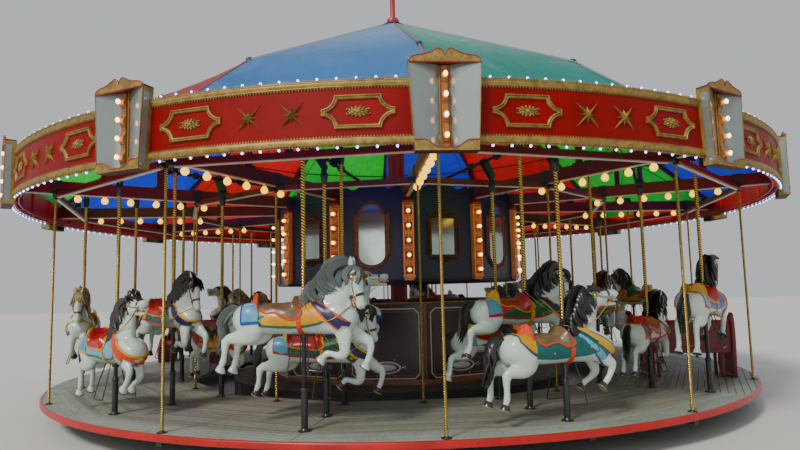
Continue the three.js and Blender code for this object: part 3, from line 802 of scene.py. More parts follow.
def figure(pose, voxel=0.0095, keep=9000):
    """The carved body: torso, neck, head and legs, blended to one skin."""
    P = POSES[pose]
    g = Geo()
    g.add(*body_part(TORSO, n=32, count=40))
    g.add(*body_part(P["neck"], n=28, count=26))
    g.add(*body_part(P["head"], n=28, count=30))
    o, d, up = head_frame(P)
    side = np.array([0, 1.0, 0])
    for s in (-1, 1):
        # cheek, brow, nostril rim, cheekbone
        for along, high, out, r in ((0.115, -0.035, 0.030, (0.066, 0.032, 0.062)), (0.105, 0.047, 0.040, (0.036, 0.020, 0.020)),
                                    (0.358, 0.018, 0.027, (0.030, 0.022, 0.026)), (0.19, 0.012, 0.036, (0.09, 0.014, 0.014))):
            g.add(*blob(o + d * along + up * high + side * (s * out), d, side, up, r))
        # shoulder, elbow, haunch, thigh
        for c, r in (((0.34, s * 0.080, 0.15), (0.150, 0.084, 0.150)), ((0.18, s * 0.09, 0.20), (0.16, 0.055, 0.10)),
                     ((-0.53, s * 0.085, 0.155), (0.165, 0.092, 0.155)), ((-0.50, s * 0.10, 0.08), (0.13, 0.075, 0.12))):
            g.add(*blob(c, (1, 0, 0), side, (0, 0, 1), r, n=18, k=11))
    for key in ("hind", "fore"):
        for y, rows, top, tip in P[key]:
            i = 5 if key == "hind" else 3
            q0, q1 = rows[i - 1], rows[i]
            if key == "hind":
                g.add(*blob((q1[0] - 0.012, y, q0[1] - 0.020), (1, 0, 0), side, (0, 0, 1), (0.036, 0.022, 0.030), n=14, k=9))
            else:
                g.add(*blob((q1[0] + 0.016, y, q1[1] + 0.004), (1, 0, 0), side, (0, 0, 1), (0.036, 0.030, 0.040), n=14, k=9))
    # the lower jaw hangs a little open below the muzzle
    jaw = [(0.10, -0.050, 0.050, 0.042), (0.16, -0.068, 0.036, 0.036), (0.22, -0.080, 0.026, 0.030), (0.28, -0.086, 0.021, 0.027),
           (0.33, -0.088, 0.020, 0.027), (0.365, -0.086, 0.012, 0.018)]
    rows = [(o + d * a + up * b, h, w) for a, b, h, w in jaw]
    g.add(*body_part([(p[0], p[2], h, w) for p, h, w in rows], n=20, count=18))
    hooves = []
    for y, rows, top, tip in P["fore"] + P["hind"]:
        rr = [(x, z, h, w, y * min(1.0, 0.75 + 0.125 * i)) for i, (x, z, h, w) in enumerate(rows)]
        g.add(*body_part(rr, n=18, count=34))
        pastern, wall, shoe = hoof(top, tip, y)
        g.add(*pastern)
        hooves.append((wall, shoe))
    v, f = remeshed(g, voxel, smooth=9, keep=keep)
    return v, f, hooves


class Skin:
    def __init__(self, v, f):
        self.bvh = BVHTree.FromPolygons([Vector(p) for p in v], [tuple(q) for q in f])

    def hit(self, frm, way, far=2.0):
        p, n, _, _ = self.bvh.ray_cast(Vector(frm), Vector(way), far)
        if p is None:
            return None, None
        n = np.array(n)
        if n @ np.array(way) > 0:
            n = -n
        return np.array(p), n

    def around(self, centre, direction, reach=0.7, inside=0.05):
        """The skin's point met on the way in from outside, along a direction to a centre."""
        c, w = np.array(centre, float), np.array(direction, float)
        w = w / np.linalg.norm(w)
        p, n = self.hit(c + w * reach, -w, reach)
        if p is None:
            return c + w * inside, w
        return p, n


def shell(grid, normals, lift, mats, closed_u=False, sink=0.006):
    """A closed thin shell over a grid of surface points. mats(i, j) gives a face's material."""
    nu, nv = grid.shape[:2]
    lift = np.broadcast_to(np.asarray(lift, float), (nu, nv))[..., None]
    out = grid + normals * lift
    inn = grid - normals * sink
    v = np.concatenate([out.reshape(-1, 3), inn.reshape(-1, 3)])
    N = nu * nv
    f, m = [], []
    q = lambda i, j: (i % nu) * nv + j
    for i in range(nu if closed_u else nu - 1):
        for j in range(nv - 1):
            k = mats(i, j)
            f.append((q(i, j), q(i + 1, j), q(i + 1, j + 1), q(i, j + 1)))
            f.append((N + q(i, j), N + q(i, j + 1), N + q(i + 1, j + 1), N + q(i + 1, j)))
            m += [k, k]
    for i in range(nu if closed_u else nu - 1):
        for j, w in ((0, 1), (nv - 1, 0)):
            a, b = q(i, j), q(i + 1, j)
            f.append((a, N + a, N + b, b) if w else (a, b, N + b, N + a))
            m.append(mats(i, min(j, nv - 2)))
    if not closed_u:
        for j in range(nv - 1):
            for i, w in ((0, 0), (nu - 1, 1)):
                a, b = q(i, j), q(i, j + 1)
                f.append((a, N + a, N + b, b) if w else (a, b, N + b, N + a))
                m.append(mats(min(i, nu - 2), j))
    return v, f, m, out


def spread(points):
    """A smooth function through (x, value) points."""
    p = np.array(sorted(points), float)
    return lambda x: float(np.interp(x, p[:, 0], p[:, 1])) if len(p) < 3 else float(_pchip(p, x))


def _pchip(p, x):
    x = min(max(x, p[0, 0]), p[-1, 0])
    i = min(int(np.searchsorted(p[:, 0], x, "right")) - 1, len(p) - 2)
    i = max(i, 0)
    h = p[i + 1, 0] - p[i, 0]
    t = (x - p[i, 0]) / h
    def slope(k):
        if k == 0 or k == len(p) - 1:
            return 0.0
        return (p[k + 1, 1] - p[k - 1, 1]) / (p[k + 1, 0] - p[k - 1, 0])
    a, b = slope(i) * h, slope(i + 1) * h
    return (2 * t ** 3 - 3 * t * t + 1) * p[i, 1] + (t ** 3 - 2 * t * t + t) * a + (3 * t * t - 2 * t ** 3) * p[i + 1, 1] + (t ** 3 - t * t) * b


def drape(geo, skin, xa, xb, hem, nx, nw, mat, edge, lift=0.008, border=0.10, zc=0.14, piping=0.0, lift_fn=None, reach=0.215):
    """A cloth over the back from side to side. xa and xb: front and rear edge as functions of the way down, 0 at the
    spine and 1 at the hem. hem: its height as a function of x."""
    def limit(x, s):
        low, last = hem(x), None
        for deg in range(20, 170, 4):
            a = math.radians(deg)
            p, n = skin.around((x, 0, zc), (0, s * math.sin(a), math.cos(a)), reach, 0.12)
            if p[2] < low:
                if last is None:
                    return a
                t = (last[1] - low) / (last[1] - p[2] + 1e-9)
                return last[0] + (a - last[0]) * t
            last = (a, p[2])
        return math.radians(165)
    us = np.concatenate([[0, border * 0.7], np.linspace(border * 0.7, 1 - border * 0.7, nx)[1:-1], [1 - border * 0.7, 1]])
    ws = np.concatenate([[-1, -1 + border], np.linspace(-1 + border, 1 - border, nw)[1:-1], [1 - border, 1]])
    grid, norm = np.zeros((len(us), len(ws), 3)), np.zeros((len(us), len(ws), 3))
    for j, w in enumerate(ws):
        s = 1 if w >= 0 else -1
        for i, u in enumerate(us):
            aw = abs(w)
            x = xa(aw) + (xb(aw) - xa(aw)) * u
            a = limit(x, s) * aw
            p, n = skin.around((x, 0, zc), (0, s * math.sin(a), math.cos(a)), reach, 0.12)
            grid[i, j], norm[i, j] = p, n
    # even the normals out, so that the cloth lies smoothly
    for _ in range(2):
        acc = norm.copy()
        acc[1:] += norm[:-1]
        acc[:-1] += norm[1:]
        acc[:, 1:] += norm[:, :-1]
        acc[:, :-1] += norm[:, 1:]
        norm = acc / np.linalg.norm(acc, axis=2)[..., None]
    L = np.full(grid.shape[:2], lift)
    if lift_fn:
        for i, u in enumerate(us):
            for j, w in enumerate(ws):
                L[i, j] = lift_fn(grid[i, j, 0], w)
    nu, nv = len(us), len(ws)
    def mats(i, j):
        return edge if i in (0, nu - 2) or j in (0, nv - 2) else mat
    v, f, m, out = shell(grid, norm, L, mats)
    geo.add(v, f, m)
    if piping:
        ring = [out[i, 0] for i in range(nu)] + [out[-1, j] for j in range(1, nv)] + [out[i, -1] for i in range(nu - 2, -1, -1)] + \
               [out[0, j] for j in range(nv - 2, 0, -1)]
        geo.add(*ring_tube(np.array(ring), piping), edge)
    return out


def ring_tube(points, r, n=6, flat=1.0):
    """A closed tube along a closed path."""
    p = np.asarray(points, float)
    t = np.roll(p, -1, 0) - np.roll(p, 1, 0)
    t /= np.linalg.norm(t, axis=1)[:, None] + 1e-12
    c = p.mean(0)
    a = np.linspace(0, 2 * np.pi, n, endpoint=False)
    v = []
    for i in range(len(p)):
        o = p[i] - c
        o = o - t[i] * (o @ t[i])
        o /= np.linalg.norm(o) + 1e-12
        s = np.cross(t[i], o)
        v.append(p[i] + np.outer(np.cos(a) * r, o) + np.outer(np.sin(a) * r * flat, s))
    v = np.concatenate(v)
    f = []
    k = len(p)
    for i in range(k):
        for j in range(n):
            f.append((i * n + j, i * n + (j + 1) % n, ((i + 1) % k) * n + (j + 1) % n, ((i + 1) % k) * n + j))
    return v, f


def band(geo, skin, centre, a, b, half, mat, edge=None, m=30, rows=3, lift=0.006, span=None, studs=None, bulge=0.0, reach=0.30):
    """A strap round the skin in the plane of a and b. half: half width, a number or a function of the angle."""
    a, b = np.array(a, float), np.array(b, float)
    a /= np.linalg.norm(a)
    b /= np.linalg.norm(b)
    n = np.cross(a, b)
    closed = span is None
    ang = np.linspace(0, 2 * np.pi, m, endpoint=False) if closed else np.linspace(span[0], span[1], m)
    hw = half if callable(half) else (lambda t: half)
    offs = np.linspace(-1, 1, rows + 1) if edge is None else np.array([-1, -0.72] + list(np.linspace(-0.72, 0.72, rows)[1:-1]) + [0.72, 1])
    grid, norm = np.zeros((len(ang), len(offs), 3)), np.zeros((len(ang), len(offs), 3))
    for i, t in enumerate(ang):
        w = a * math.cos(t) + b * math.sin(t)
        for j, s in enumerate(offs):
            p, q = skin.around(np.array(centre) + n * (s * hw(t)), w, reach)
            grid[i, j], norm[i, j] = p, q
    L = lift + bulge * (1 - np.abs(offs)) ** 0.6
    def mats(i, j):
        return mat if edge is None or 0 < j < len(offs) - 2 else edge
    v, f, mm, out = shell(grid, norm, np.broadcast_to(L, grid.shape[:2]), mats, closed_u=closed, sink=0.004)
    geo.add(v, f, mm)
    if studs:
        step, r, sm = studs
        mid = out[:, len(offs) // 2] if len(offs) % 2 else (out[:, len(offs) // 2] + out[:, len(offs) // 2 - 1]) / 2
        for i in range(0, len(ang), step):
            nn = norm[i, len(offs) // 2]
            t = np.cross(nn, n)
            geo.add(*blob(mid[i], n, t / (np.linalg.norm(t) + 1e-9), nn, (r, r, r * 0.5), n=8, k=5), sm)
    return out, norm


def lock(geo, path, width, thick, mat, n=8, k=9, curl=0.0):
    """One tapering lock of hair along a path."""
    p = smooth_path(path, k)
    s = np.linspace(0, 1, k)
    w = width * (0.55 + 0.9 * np.sin(np.pi * np.clip(s * 0.85 + 0.12, 0, 1))) * (1 - s ** 3) ** 0.5
    w = np.maximum(w, 0.0022)
    r = np.stack([w * thick / width, w], 1)
    a = np.linspace(0, 2 * np.pi, n, endpoint=False)
    loops = []
    fr = frames(p, (0, 1, 0))
    for i, (t, sd, m) in enumerate(fr):
        y = np.array([0, 1.0, 0])
        flat = np.cross(t, y)
        flat /= np.linalg.norm(flat) + 1e-9
        sd2 = np.cross(flat, t)
        c, q = math.cos(curl * s[i]), math.sin(curl * s[i])
        e1, e2 = sd2 * c + flat * q, flat * c - sd2 * q
        rr = 1 + 0.16 * np.cos(3 * a)
        loops.append(p[i] + np.outer(np.cos(a) * r[i, 0] * rr, e1) + np.outer(np.sin(a) * r[i, 1] * rr, e2))
    geo.add(*loft(loops), mat)


def turned_profile(profile, n=16, x=0.0, y=0.0):
    """A closed turned piece from (radius, z) rows."""
    a = np.linspace(0, 2 * np.pi, n, endpoint=False)
    loops = [np.stack([x + r * np.cos(a), y + r * np.sin(a), np.full(n, z)], 1) for r, z in profile]
    return loft(loops)


def horse(pose, detail=1.0, seed=1, keep=9000, style=0):
    """The whole carved horse, without its pole. style picks the saddlery."""
    P = POSES[pose]
    rng = np.random.default_rng(seed)
    v, f, hooves = figure(pose, keep=keep)
    skin = Skin(v, f)
    g = Geo()
    g.add(v, f, COAT)
    for wall, shoe in hooves:
        g.add(*wall, HOOF)
        g.add(*shoe, SHOE)
    o, d, up = head_frame(P)
    side = np.array([0, 1.0, 0])
    # ---- ears, eyes, nostrils, mouth
    ex, ez = P["ear"]
    eu = np.array([P["ear_up"][0], 0, P["ear_up"][1]])
    for s in (-1, 1):
        base = np.array([ex, s * 0.034, ez])
        tipv = eu + side * (s * 0.22)
        tipv /= np.linalg.norm(tipv)
        fw = np.cross(side, tipv)
        loops = []
        a = np.linspace(0, 2 * np.pi, 10, endpoint=False)
        for t, rx, ry in ((-0.1, 0.016, 0.014), (0.15, 0.024, 0.018), (0.45, 0.025, 0.014), (0.75, 0.016, 0.009), (1.0, 0.003, 0.002)):
            loops.append(base + tipv * (0.108 * t) + np.outer(np.cos(a) * rx, fw) + np.outer(np.sin(a) * ry * (1 - 0.55 * (np.sin(a) * s > 0.3)), side))
        g.add(*loft(loops), COAT)
        eye, en = skin.hit(o + d * 0.125 + up * 0.040 + side * (s * 0.5), -side * s)
        if eye is not None:
            g.add(*blob(eye + side * s * 0.001, d, en, np.cross(d, en), (0.017, 0.007, 0.0125), n=12, k=7), EYE)
            for h, rr in ((0.012, 0.020), (-0.011, 0.018)):
                g.add(*blob(eye + up * h + side * s * 0.001, d, en, np.cross(d, en), (rr, 0.007, 0.0045), n=8, k=5), COAT)
        nos, nn = skin.hit(o + d * 0.372 + up * 0.020 + side * (s * 0.5), -side * s)
        if nos is not None:
            g.add(*blob(nos, d, nn, up, (0.011, 0.004, 0.0075), n=8, k=5), JEWEL)
    g.add(*blob(o + d * 0.31 - up * 0.045, d, side, up, (0.065, 0.024, 0.022), n=12, k=7), PINK)
    for s in (-1, 1):
        for q in np.linspace(0.315, 0.375, 5):
            g.add(*blob(o + d * q - up * 0.045 + side * (s * (0.027 - 0.25 * (q - 0.315) ** 2 * 40)), d, side, up, (0.0075, 0.004, 0.010), n=6, k=5), COAT)
    # ---- hair: crest locks to both sides, forelock, tail
    n_mane, ln_n, ln_k = (11, 8, 9) if detail > 0.9 else ((9, 6, 7) if detail > 0.6 else (7, 6, 6))
    crest = smooth_path([(x, z) for x, z in P["crest"]], n_mane)
    flow = P["flow"]
    for i, (cx, cz) in enumerate(crest):
        u = i / (len(crest) - 1)
        size = (1.0 - 0.42 * u)
        for s in (-1, 1):
            e = size * rng.uniform(0.9, 1.12)
            y = s * rng.uniform(0.85, 1.15)
            r0 = np.array([cx + 0.015, s * 0.008, cz - 0.015])
            pts = [r0] + [r0 + np.array([fx * e, y * fy, fz * e]) for fx, fy, fz in flow["side"]]
            lock(g, pts, 0.034 * (1.05 - 0.3 * u), 0.015, MANE, curl=0.6 * s, n=ln_n, k=ln_k)
            if i % 2 == 0:
                e = size * rng.uniform(0.8, 1.0)
                r1 = np.array([cx + 0.03, s * 0.028, cz - 0.045])
                pts = [r1] + [r1 + np.array([fx * e, y * fy, fz * e]) for fx, fy, fz in flow["low"]]
                lock(g, pts, 0.026, 0.011, MANE, curl=0.3 * s, n=ln_n, k=ln_k)
        e = size * rng.uniform(0.9, 1.1)
        y = rng.uniform(-0.03, 0.03)
        r0 = np.array([cx, 0.0, cz - 0.02])
        pts = [r0] + [r0 + np.array([fx * e, y * t, fz * e]) for t, (fx, fz) in enumerate(flow["top"])]
        lock(g, pts, 0.036, 0.026, MANE, n=ln_n, k=ln_k)
    for i in range(7 if detail > 0.6 else 5):
        y = (i - 3) * 0.012
        r0 = o - d * 0.015 + up * 0.050 + side * y
        e = rng.uniform(0.9, 1.15)
        lock(g, [r0 - d * 0.02 - up * 0.02, r0 + d * 0.030 + up * 0.034 + side * y * 0.4, r0 + d * 0.085 + up * 0.040 + side * y * 0.9,
                 r0 + d * 0.135 * e + up * 0.014 + side * y * 1.6, r0 + d * 0.165 * e + up * 0.016 + side * y * 2.0], 0.020, 0.012, MANE, k=8, n=ln_n)
    root = np.array([-0.70, 0, 0.225])
    count = 12 if detail > 0.9 else 8
    for i in range(count):
        a = 2 * np.pi * i / count
        w = 0.040 * (0.35 + 0.65 * (i % 3) / 2)
        oy, oz = w * math.cos(a), w * math.sin(a)
        e = rng.uniform(0.82, 1.08)
        sw = rng.uniform(-0.02, 0.02)
        lock(g, [root + np.array([0.035, oy * 0.25, oz * 0.3 + 0.01]), root + np.array([-0.045, oy * 0.6, oz * 0.6 + 0.028]),
                 root + np.array([-0.110, oy * 1.0, oz * 0.9 - 0.015]), root + np.array([-0.150 + sw, oy * 1.5, oz * 0.6 - 0.12 * e]),
                 root + np.array([-0.135 + oz, oy * 1.5, -0.22 * e]), root + np.array([-0.160 - sw + oz * 0.6, oy * 1.1, -0.32 * e]),
                 root + np.array([-0.205 + oz, oy * 0.9, -0.42 * e])],
             0.024, 0.017, MANE, k=ln_k + 2, n=ln_n, curl=1.2 * math.cos(a))
    # ---- blankets and saddle
    sty = STYLES[style]
    drape(g, skin, spread([(0, -0.60), (1, -0.585)]), spread([(0, -0.36), (1, sty.get("panel_to", -0.38))]),
          spread(sty["panel_hem"]), 5, 12, PANEL, TRIM, lift=0.007, border=0.085, piping=0.0045)
    drape(g, skin, spread([(0, -0.43), (1, -0.40)]), spread([(0, 0.20), (1, 0.30)]), spread(sty["cloth_hem"]), 12, 16, CLOTH, HEM,
          lift=0.010, border=0.07, piping=0.005)
    def seat(x, w):
        c = 1 - abs(w)
        cant = 0.092 * math.exp(-((x + 0.485) / 0.040) ** 2) * min(1, 2.6 * c) ** 0.8
        pom = 0.078 * math.exp(-((x + 0.055) / 0.040) ** 2) * min(1, 2.2 * c) ** 0.9
        pad = 0.016 * math.exp(-((x + 0.25) / 0.12) ** 2) * min(1, 3 * c)
        return 0.016 + cant + pom + pad
    drape(g, skin, spread([(0, -0.53), (0.5, -0.49), (1, -0.43)]), spread([(0, -0.015), (0.5, 0.0), (1, 0.035)]), spread(sty["saddle_hem"]),
          16, 20, SADDLE, EDGE, border=0.055, piping=0.0075, lift_fn=seat)
    # ---- girth and breast collars
    band(g, skin, (0.0, 0, 0.15), (0, 0, 1), (0, 1, 0), 0.022, EDGE, m=26, rows=3, lift=0.0165, reach=0.26, span=(1.50, 4.783))
    def wide(top, low):
        return lambda t: top + (low - top) * (0.5 - 0.5 * math.cos(t))
    c1, c2 = np.array(sty["collar"][0], float), np.array(sty["collar"][1], float)
    mid = (c1 + c2) / 2
    ax = np.array([c1[0] - c2[0], 0, c1[1] - c2[1]])
    band(g, skin, (mid[0], 0, mid[1]), ax, (0, 1, 0), wide(*sty["collar_w"]), COLLAR, edge=TRIM if sty.get("collar_trim") else EDGE,
         m=34, rows=5, lift=0.0155, bulge=0.006)
    if "collar2" in sty:
        e1, e2 = np.array(sty["collar2"][0], float), np.array(sty["collar2"][1], float)
        mid2 = (e1 + e2) / 2
        band(g, skin, (mid2[0], 0, mid2[1]), (e1[0] - e2[0], 0, e1[1] - e2[1]), (0, 1, 0), wide(*sty["collar2_w"]), COLLAR2, edge=TRIM,
             m=34, rows=5, lift=0.008, bulge=0.003)
    # ---- bridle: crown and throat strap, brow band, nose band, cheek straps, bit, reins
    throat = o + d * 0.065 - up * 0.01
    band(g, skin, throat, up + d * -0.25, side, 0.016, STRAP, m=24, rows=2, lift=0.005, studs=(3, 0.006, GOLD), reach=0.135)
    band(g, skin, o + d * 0.255, up, side, 0.013, STRAP if style != 1 else CLOTH, m=20, rows=2, lift=0.005, studs=(5, 0.0055, GOLD), reach=0.10)
    band(g, skin, o + d * 0.075 + up * 0.02, up + d * 0.45, side, 0.009, GOLD, m=14, rows=2, lift=0.006, span=(-1.5, 1.5), reach=0.12)
    for s in (-1, 1):
        pts = []
        for q, h in ((0.07, 0.03), (0.13, 0.0), (0.19, -0.012), (0.255, -0.010), (0.30, -0.012)):
            p, n2 = skin.hit(o + d * q + up * h + side * (s * 0.4), -side * s)
            if p is not None:
                pts.append(p + n2 * 0.003)
        if len(pts) > 2:
            g.add(*tube(smooth_path(pts, 12), np.tile([0.0035, 0.010], (12, 1)), n=8, up=(0, 1, 0)), STRAP)
        for q, h, rr, mm in ((0.085, 0.012, 0.017, JEWEL), (0.255, -0.012, 0.013, JEWEL)):
            p, n2 = skin.hit(o + d * q + up * h + side * (s * 0.4), -side * s)
            if p is not None:
                t = np.cross(n2, up)
                t /= np.linalg.norm(t)
                g.add(*blob(p + n2 * 0.006, n2, t, np.cross(n2, t), (0.006, rr + 0.006, rr + 0.006), n=12, k=5), GOLD)
                g.add(*blob(p + n2 * 0.010, n2, t, np.cross(n2, t), (0.007, rr * 0.7, rr * 0.7), n=10, k=5), mm)
        bx, bz = P["bit"]
        p, n2 = skin.hit(np.array([bx - 0.02, s * 0.4, bz]), -side * s)
        if p is None:
            p = np.array([bx - 0.02, s * 0.045, bz])
        ringp = [p + np.array([0.016 * math.cos(t), s * 0.008, 0.016 * math.sin(t)]) for t in np.linspace(0, 2 * np.pi, 12, endpoint=False)]
        g.add(*ring_tube(ringp, 0.0035), GOLD)
        start = p + np.array([-0.014, s * 0.010, -0.004])
        # a rein stays outside the neck on its way to the saddle
        way_pts = [start]
        for t in (0.25, 0.5, 0.75):
            q = np.array([start[0] + (0.0 - start[0]) * t, 0, start[2] + (0.35 - start[2]) * t])
            q[2] -= (0.19 if pose == "tucked" else 0.10) * math.sin(math.pi * t)
            hitp, _ = skin.hit(np.array([q[0], s * 0.6, q[2]]), -side * s)
            yy = (abs(hitp[1]) if hitp is not None else 0.05) + 0.016
            way_pts.append(np.array([q[0], s * yy, q[2]]))
        way_pts.append(np.array([-0.035, s * 0.055, 0.375]))
        path = smooth_path(way_pts, 22)
        for i in range(len(path)):
            hitp, _ = skin.hit(np.array([path[i][0], s * 0.6, path[i][2]]), -side * s)
            if hitp is not None and abs(path[i][1]) < abs(hitp[1]) + 0.008:
                path[i][1] = s * (abs(hitp[1]) + 0.010)
        g.add(*tube(path, np.tile([0.0045, 0.010], (len(path), 1)), n=6, up=(0, 1, 0)), GOLD)
    # ---- footrests: a wire loop at each side, hung from the belly
    for s in (-1, 1):
        pts = [(-0.055, s * 0.085, 0.012), (-0.088, s * 0.135, -0.16), (-0.105, s * 0.185, -0.35), (-0.100, s * 0.192, -0.375),
               (-0.08, s * 0.195, -0.382), (0.08, s * 0.195, -0.382), (0.100, s * 0.192, -0.375), (0.105, s * 0.185, -0.35),
               (0.088, s * 0.135, -0.16), (0.055, s * 0.085, 0.012)]
        g.add(*tube(smooth_path(pts, 34), 0.0062, n=7, up=(0, 1, 0)), BLACK)
    return g, skin


STYLES = [
    # 0: the near middle one: yellow blanket, light blue panel, dark collar
    dict(panel_hem=[(-0.60, 0.10), (-0.38, 0.115)], cloth_hem=[(-0.42, 0.085), (-0.2, 0.07), (0.0, 0.07), (0.2, 0.10), (0.32, 0.15)],
         saddle_hem=[(-0.53, 0.285), (-0.42, 0.235), (-0.33, 0.20), (-0.27, 0.215), (-0.20, 0.18), (-0.10, 0.145), (-0.02, 0.15), (0.03, 0.19), (0.05, 0.24)],
         collar=[(0.060, 0.360), (0.430, 0.085)], collar_w=(0.026, 0.066)),
    # 1: the near right one
    dict(panel_hem=[(-0.60, 0.24), (-0.50, 0.15), (-0.38, 0.09)], cloth_hem=[(-0.42, 0.075), (-0.2, 0.06), (0.0, 0.07), (0.2, 0.085), (0.32, 0.12)],
         saddle_hem=[(-0.53, 0.30), (-0.42, 0.245), (-0.32, 0.185), (-0.24, 0.20), (-0.15, 0.205), (-0.06, 0.165), (0.03, 0.19), (0.05, 0.24)],
         collar=[(0.11, 0.365), (0.46, 0.12)], collar_w=(0.030, 0.055), collar2=[(0.05, 0.33), (0.40, 0.02)], collar2_w=(0.020, 0.055), collar_trim=True),
    # 2: the near left one, with a broad breast piece
    dict(panel_hem=[(-0.60, 0.13), (-0.38, 0.10)], cloth_hem=[(-0.42, 0.09), (-0.2, 0.08), (0.0, 0.06), (0.2, 0.07), (0.32, 0.10)],
         saddle_hem=[(-0.53, 0.29), (-0.40, 0.20), (-0.28, 0.17), (-0.15, 0.16), (-0.02, 0.16), (0.03, 0.19), (0.05, 0.24)],
         collar=[(0.10, 0.36), (0.45, 0.10)], collar_w=(0.030, 0.070), collar2=[(0.06, 0.34), (0.42, 0.0)], collar2_w=(0.020, 0.050)),
]
# ------------------------------------------------------------------ small solids
def tidy(me, angle=38.0, orient=True):
    """Faces outward, and creases kept sharp."""
    bm = bmesh.new()
    bm.from_mesh(me)
    if orient:
        bmesh.ops.recalc_face_normals(bm, faces=bm.faces)
    lim = math.radians(angle)
    for e in bm.edges:
        if len(e.link_faces) == 2 and e.calc_face_angle(0.0) > lim:
            e.smooth = False
    bm.to_mesh(me)
    bm.free()
    me.update()


def piece(name, geo, mats, body="turntable", nodes=(), angle=38.0, orient=True, share=1.0):
    if share < 1.0:
        geo = lighter(geo, share, mats)
    ob = geo.object(name, mats)
    tidy(ob.data, angle, orient)
    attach(ob, body)
    if nodes:
        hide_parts(*nodes)
    return ob


def at(theta, r=0.0, z=0.0, x=0.0):
    """A local frame at a bay angle and radius: x forward, y inward, z up."""
    a = math.radians(theta)
    c, s = math.cos(a), math.sin(a)
    return np.array([[c, -s, 0, r * s + x * c], [s, c, 0, -r * c + x * s], [0, 0, 1, z], [0, 0, 0, 1.0]])


def bar(x0, x1, y0, y1, z0, z1, c=0.004):
    """A box with all its edges chamfered."""
    ends = ((x0, x1), (y0, y1), (z0, z1))
    v, idx, f = [], {}, []
    for i in (0, 1):
        for j in (0, 1):
            for k in (0, 1):
                s = (2 * i - 1, 2 * j - 1, 2 * k - 1)
                for ax in range(3):
                    p = [ends[0][i], ends[1][j], ends[2][k]]
                    for b in range(3):
                        if b != ax:
                            p[b] -= s[b] * c
                    idx[i, j, k, ax] = len(v)
                    v.append(p)
                f.append([idx[i, j, k, 0], idx[i, j, k, 1], idx[i, j, k, 2]])
    for ax in range(3):
        o = [a for a in range(3) if a != ax]
        for s in (0, 1):
            q = []
            for a, b in ((0, 0), (1, 0), (1, 1), (0, 1)):
                key = [0, 0, 0]
                key[ax], key[o[0]], key[o[1]] = s, a, b
                q.append(idx[(*key, ax)])
            f.append(q)
        for a in (0, 1):
            for b in (0, 1):
                k0 = [0, 0, 0]
                k0[o[0]], k0[o[1]] = a, b
                k1 = list(k0)
                k1[ax] = 1
                f.append([idx[(*k0, o[0])], idx[(*k1, o[0])], idx[(*k1, o[1])], idx[(*k0, o[1])]])
    return v, f


def sweep(profile, a0=0.0, a1=360.0, n=144):
    """A closed profile of radius and height, carried round the axis."""
    full = abs(a1 - a0 - 360) < 1e-6
    p = np.array(profile, float)
    ang = np.radians(np.linspace(a0, a1, n, endpoint=False) if full else np.linspace(a0, a1, n + 1))
    loops = [np.stack([p[:, 0] * math.sin(a), -p[:, 0] * math.cos(a), p[:, 1]], 1) for a in ang]
    k, m = len(loops), len(p)
    f = []
    for i in range(k if full else k - 1):
        for j in range(m):
            f.append((i * m + j, i * m + (j + 1) % m, ((i + 1) % k) * m + (j + 1) % m, ((i + 1) % k) * m + j))
    if not full:
        f.append(tuple(range(m))[::-1])
        f.append(tuple(range((k - 1) * m, k * m)))
    return np.concatenate(loops), f


def dense(path, step, closed=True):
    """The path with its long sides divided."""
    p = [np.array(q, float) for q in path]
    out = []
    for i in range(len(p) if closed else len(p) - 1):
        a, b = p[i], p[(i + 1) % len(p)]
        m = max(1, int(np.linalg.norm(b - a) / step + 0.5))
        out += [a + (b - a) * (j / m) for j in range(m)]
    if not closed:
        out.append(p[-1])
    return np.array(out)


def arc(cx, cy, r, a0, a1, n=7, ry=None):
    t = np.radians(np.linspace(a0, a1, n))
    return [(cx + r * math.cos(q), cy + (ry or r) * math.sin(q)) for q in t]


def inset(path, d):
    """A closed loop moved to its left by d, with mitres."""
    p = np.asarray(path, float)
    e = np.roll(p, -1, 0) - p
    e /= np.linalg.norm(e, axis=1)[:, None] + 1e-12
    nl = np.stack([-e[:, 1], e[:, 0]], 1)
    m = nl + np.roll(nl, 1, 0)
    m /= np.linalg.norm(m, axis=1)[:, None] + 1e-12
    return p + m * (d / np.maximum((m * nl).sum(1), 0.4))[:, None]


# flat work is laid out as (across, up, out) and then set on a facet or bent on the round
def mould(path, profile):
    """A moulding round a closed path. profile: (inset, height) rows of a closed section."""
    rows = [np.column_stack([inset(path, o), np.full(len(path), h)]) for o, h in profile]
    n, k = len(path), len(rows)
    f = []
    for j in range(k):
        for i in range(n):
            f.append((j * n + i, j * n + (i + 1) % n, ((j + 1) % k) * n + (i + 1) % n, ((j + 1) % k) * n + i))
    return np.concatenate(rows), f


def panel(outline, h0, h1, c=0.003):
    """A flat plate with a chamfered front edge."""
    o = np.asarray(outline, float)
    n = len(o)
    rows = [np.column_stack([o, np.full(n, h0)]), np.column_stack([o, np.full(n, h1 - c)]), np.column_stack([inset(o, c), np.full(n, h1)])]
    f = [tuple(range(n))[::-1], tuple(range(2 * n, 3 * n))]
    for j in (0, 1):
        for i in range(n):
            f.append((j * n + i, j * n + (i + 1) % n, (j + 1) * n + (i + 1) % n, (j + 1) * n + i))
    return np.concatenate(rows), f


def on_wall(v, apothem=0.0):
    v = np.asarray(v, float)
    return np.stack([v[:, 0], -v[:, 2] - apothem, v[:, 1]], 1)


def on_round(v, theta, r, z=0.0):
    v = np.asarray(v, float)
    a = math.radians(theta) + v[:, 0] / r
    q = r + v[:, 2]
    return np.stack([q * np.sin(a), -q * np.cos(a), v[:, 1] + z], 1)


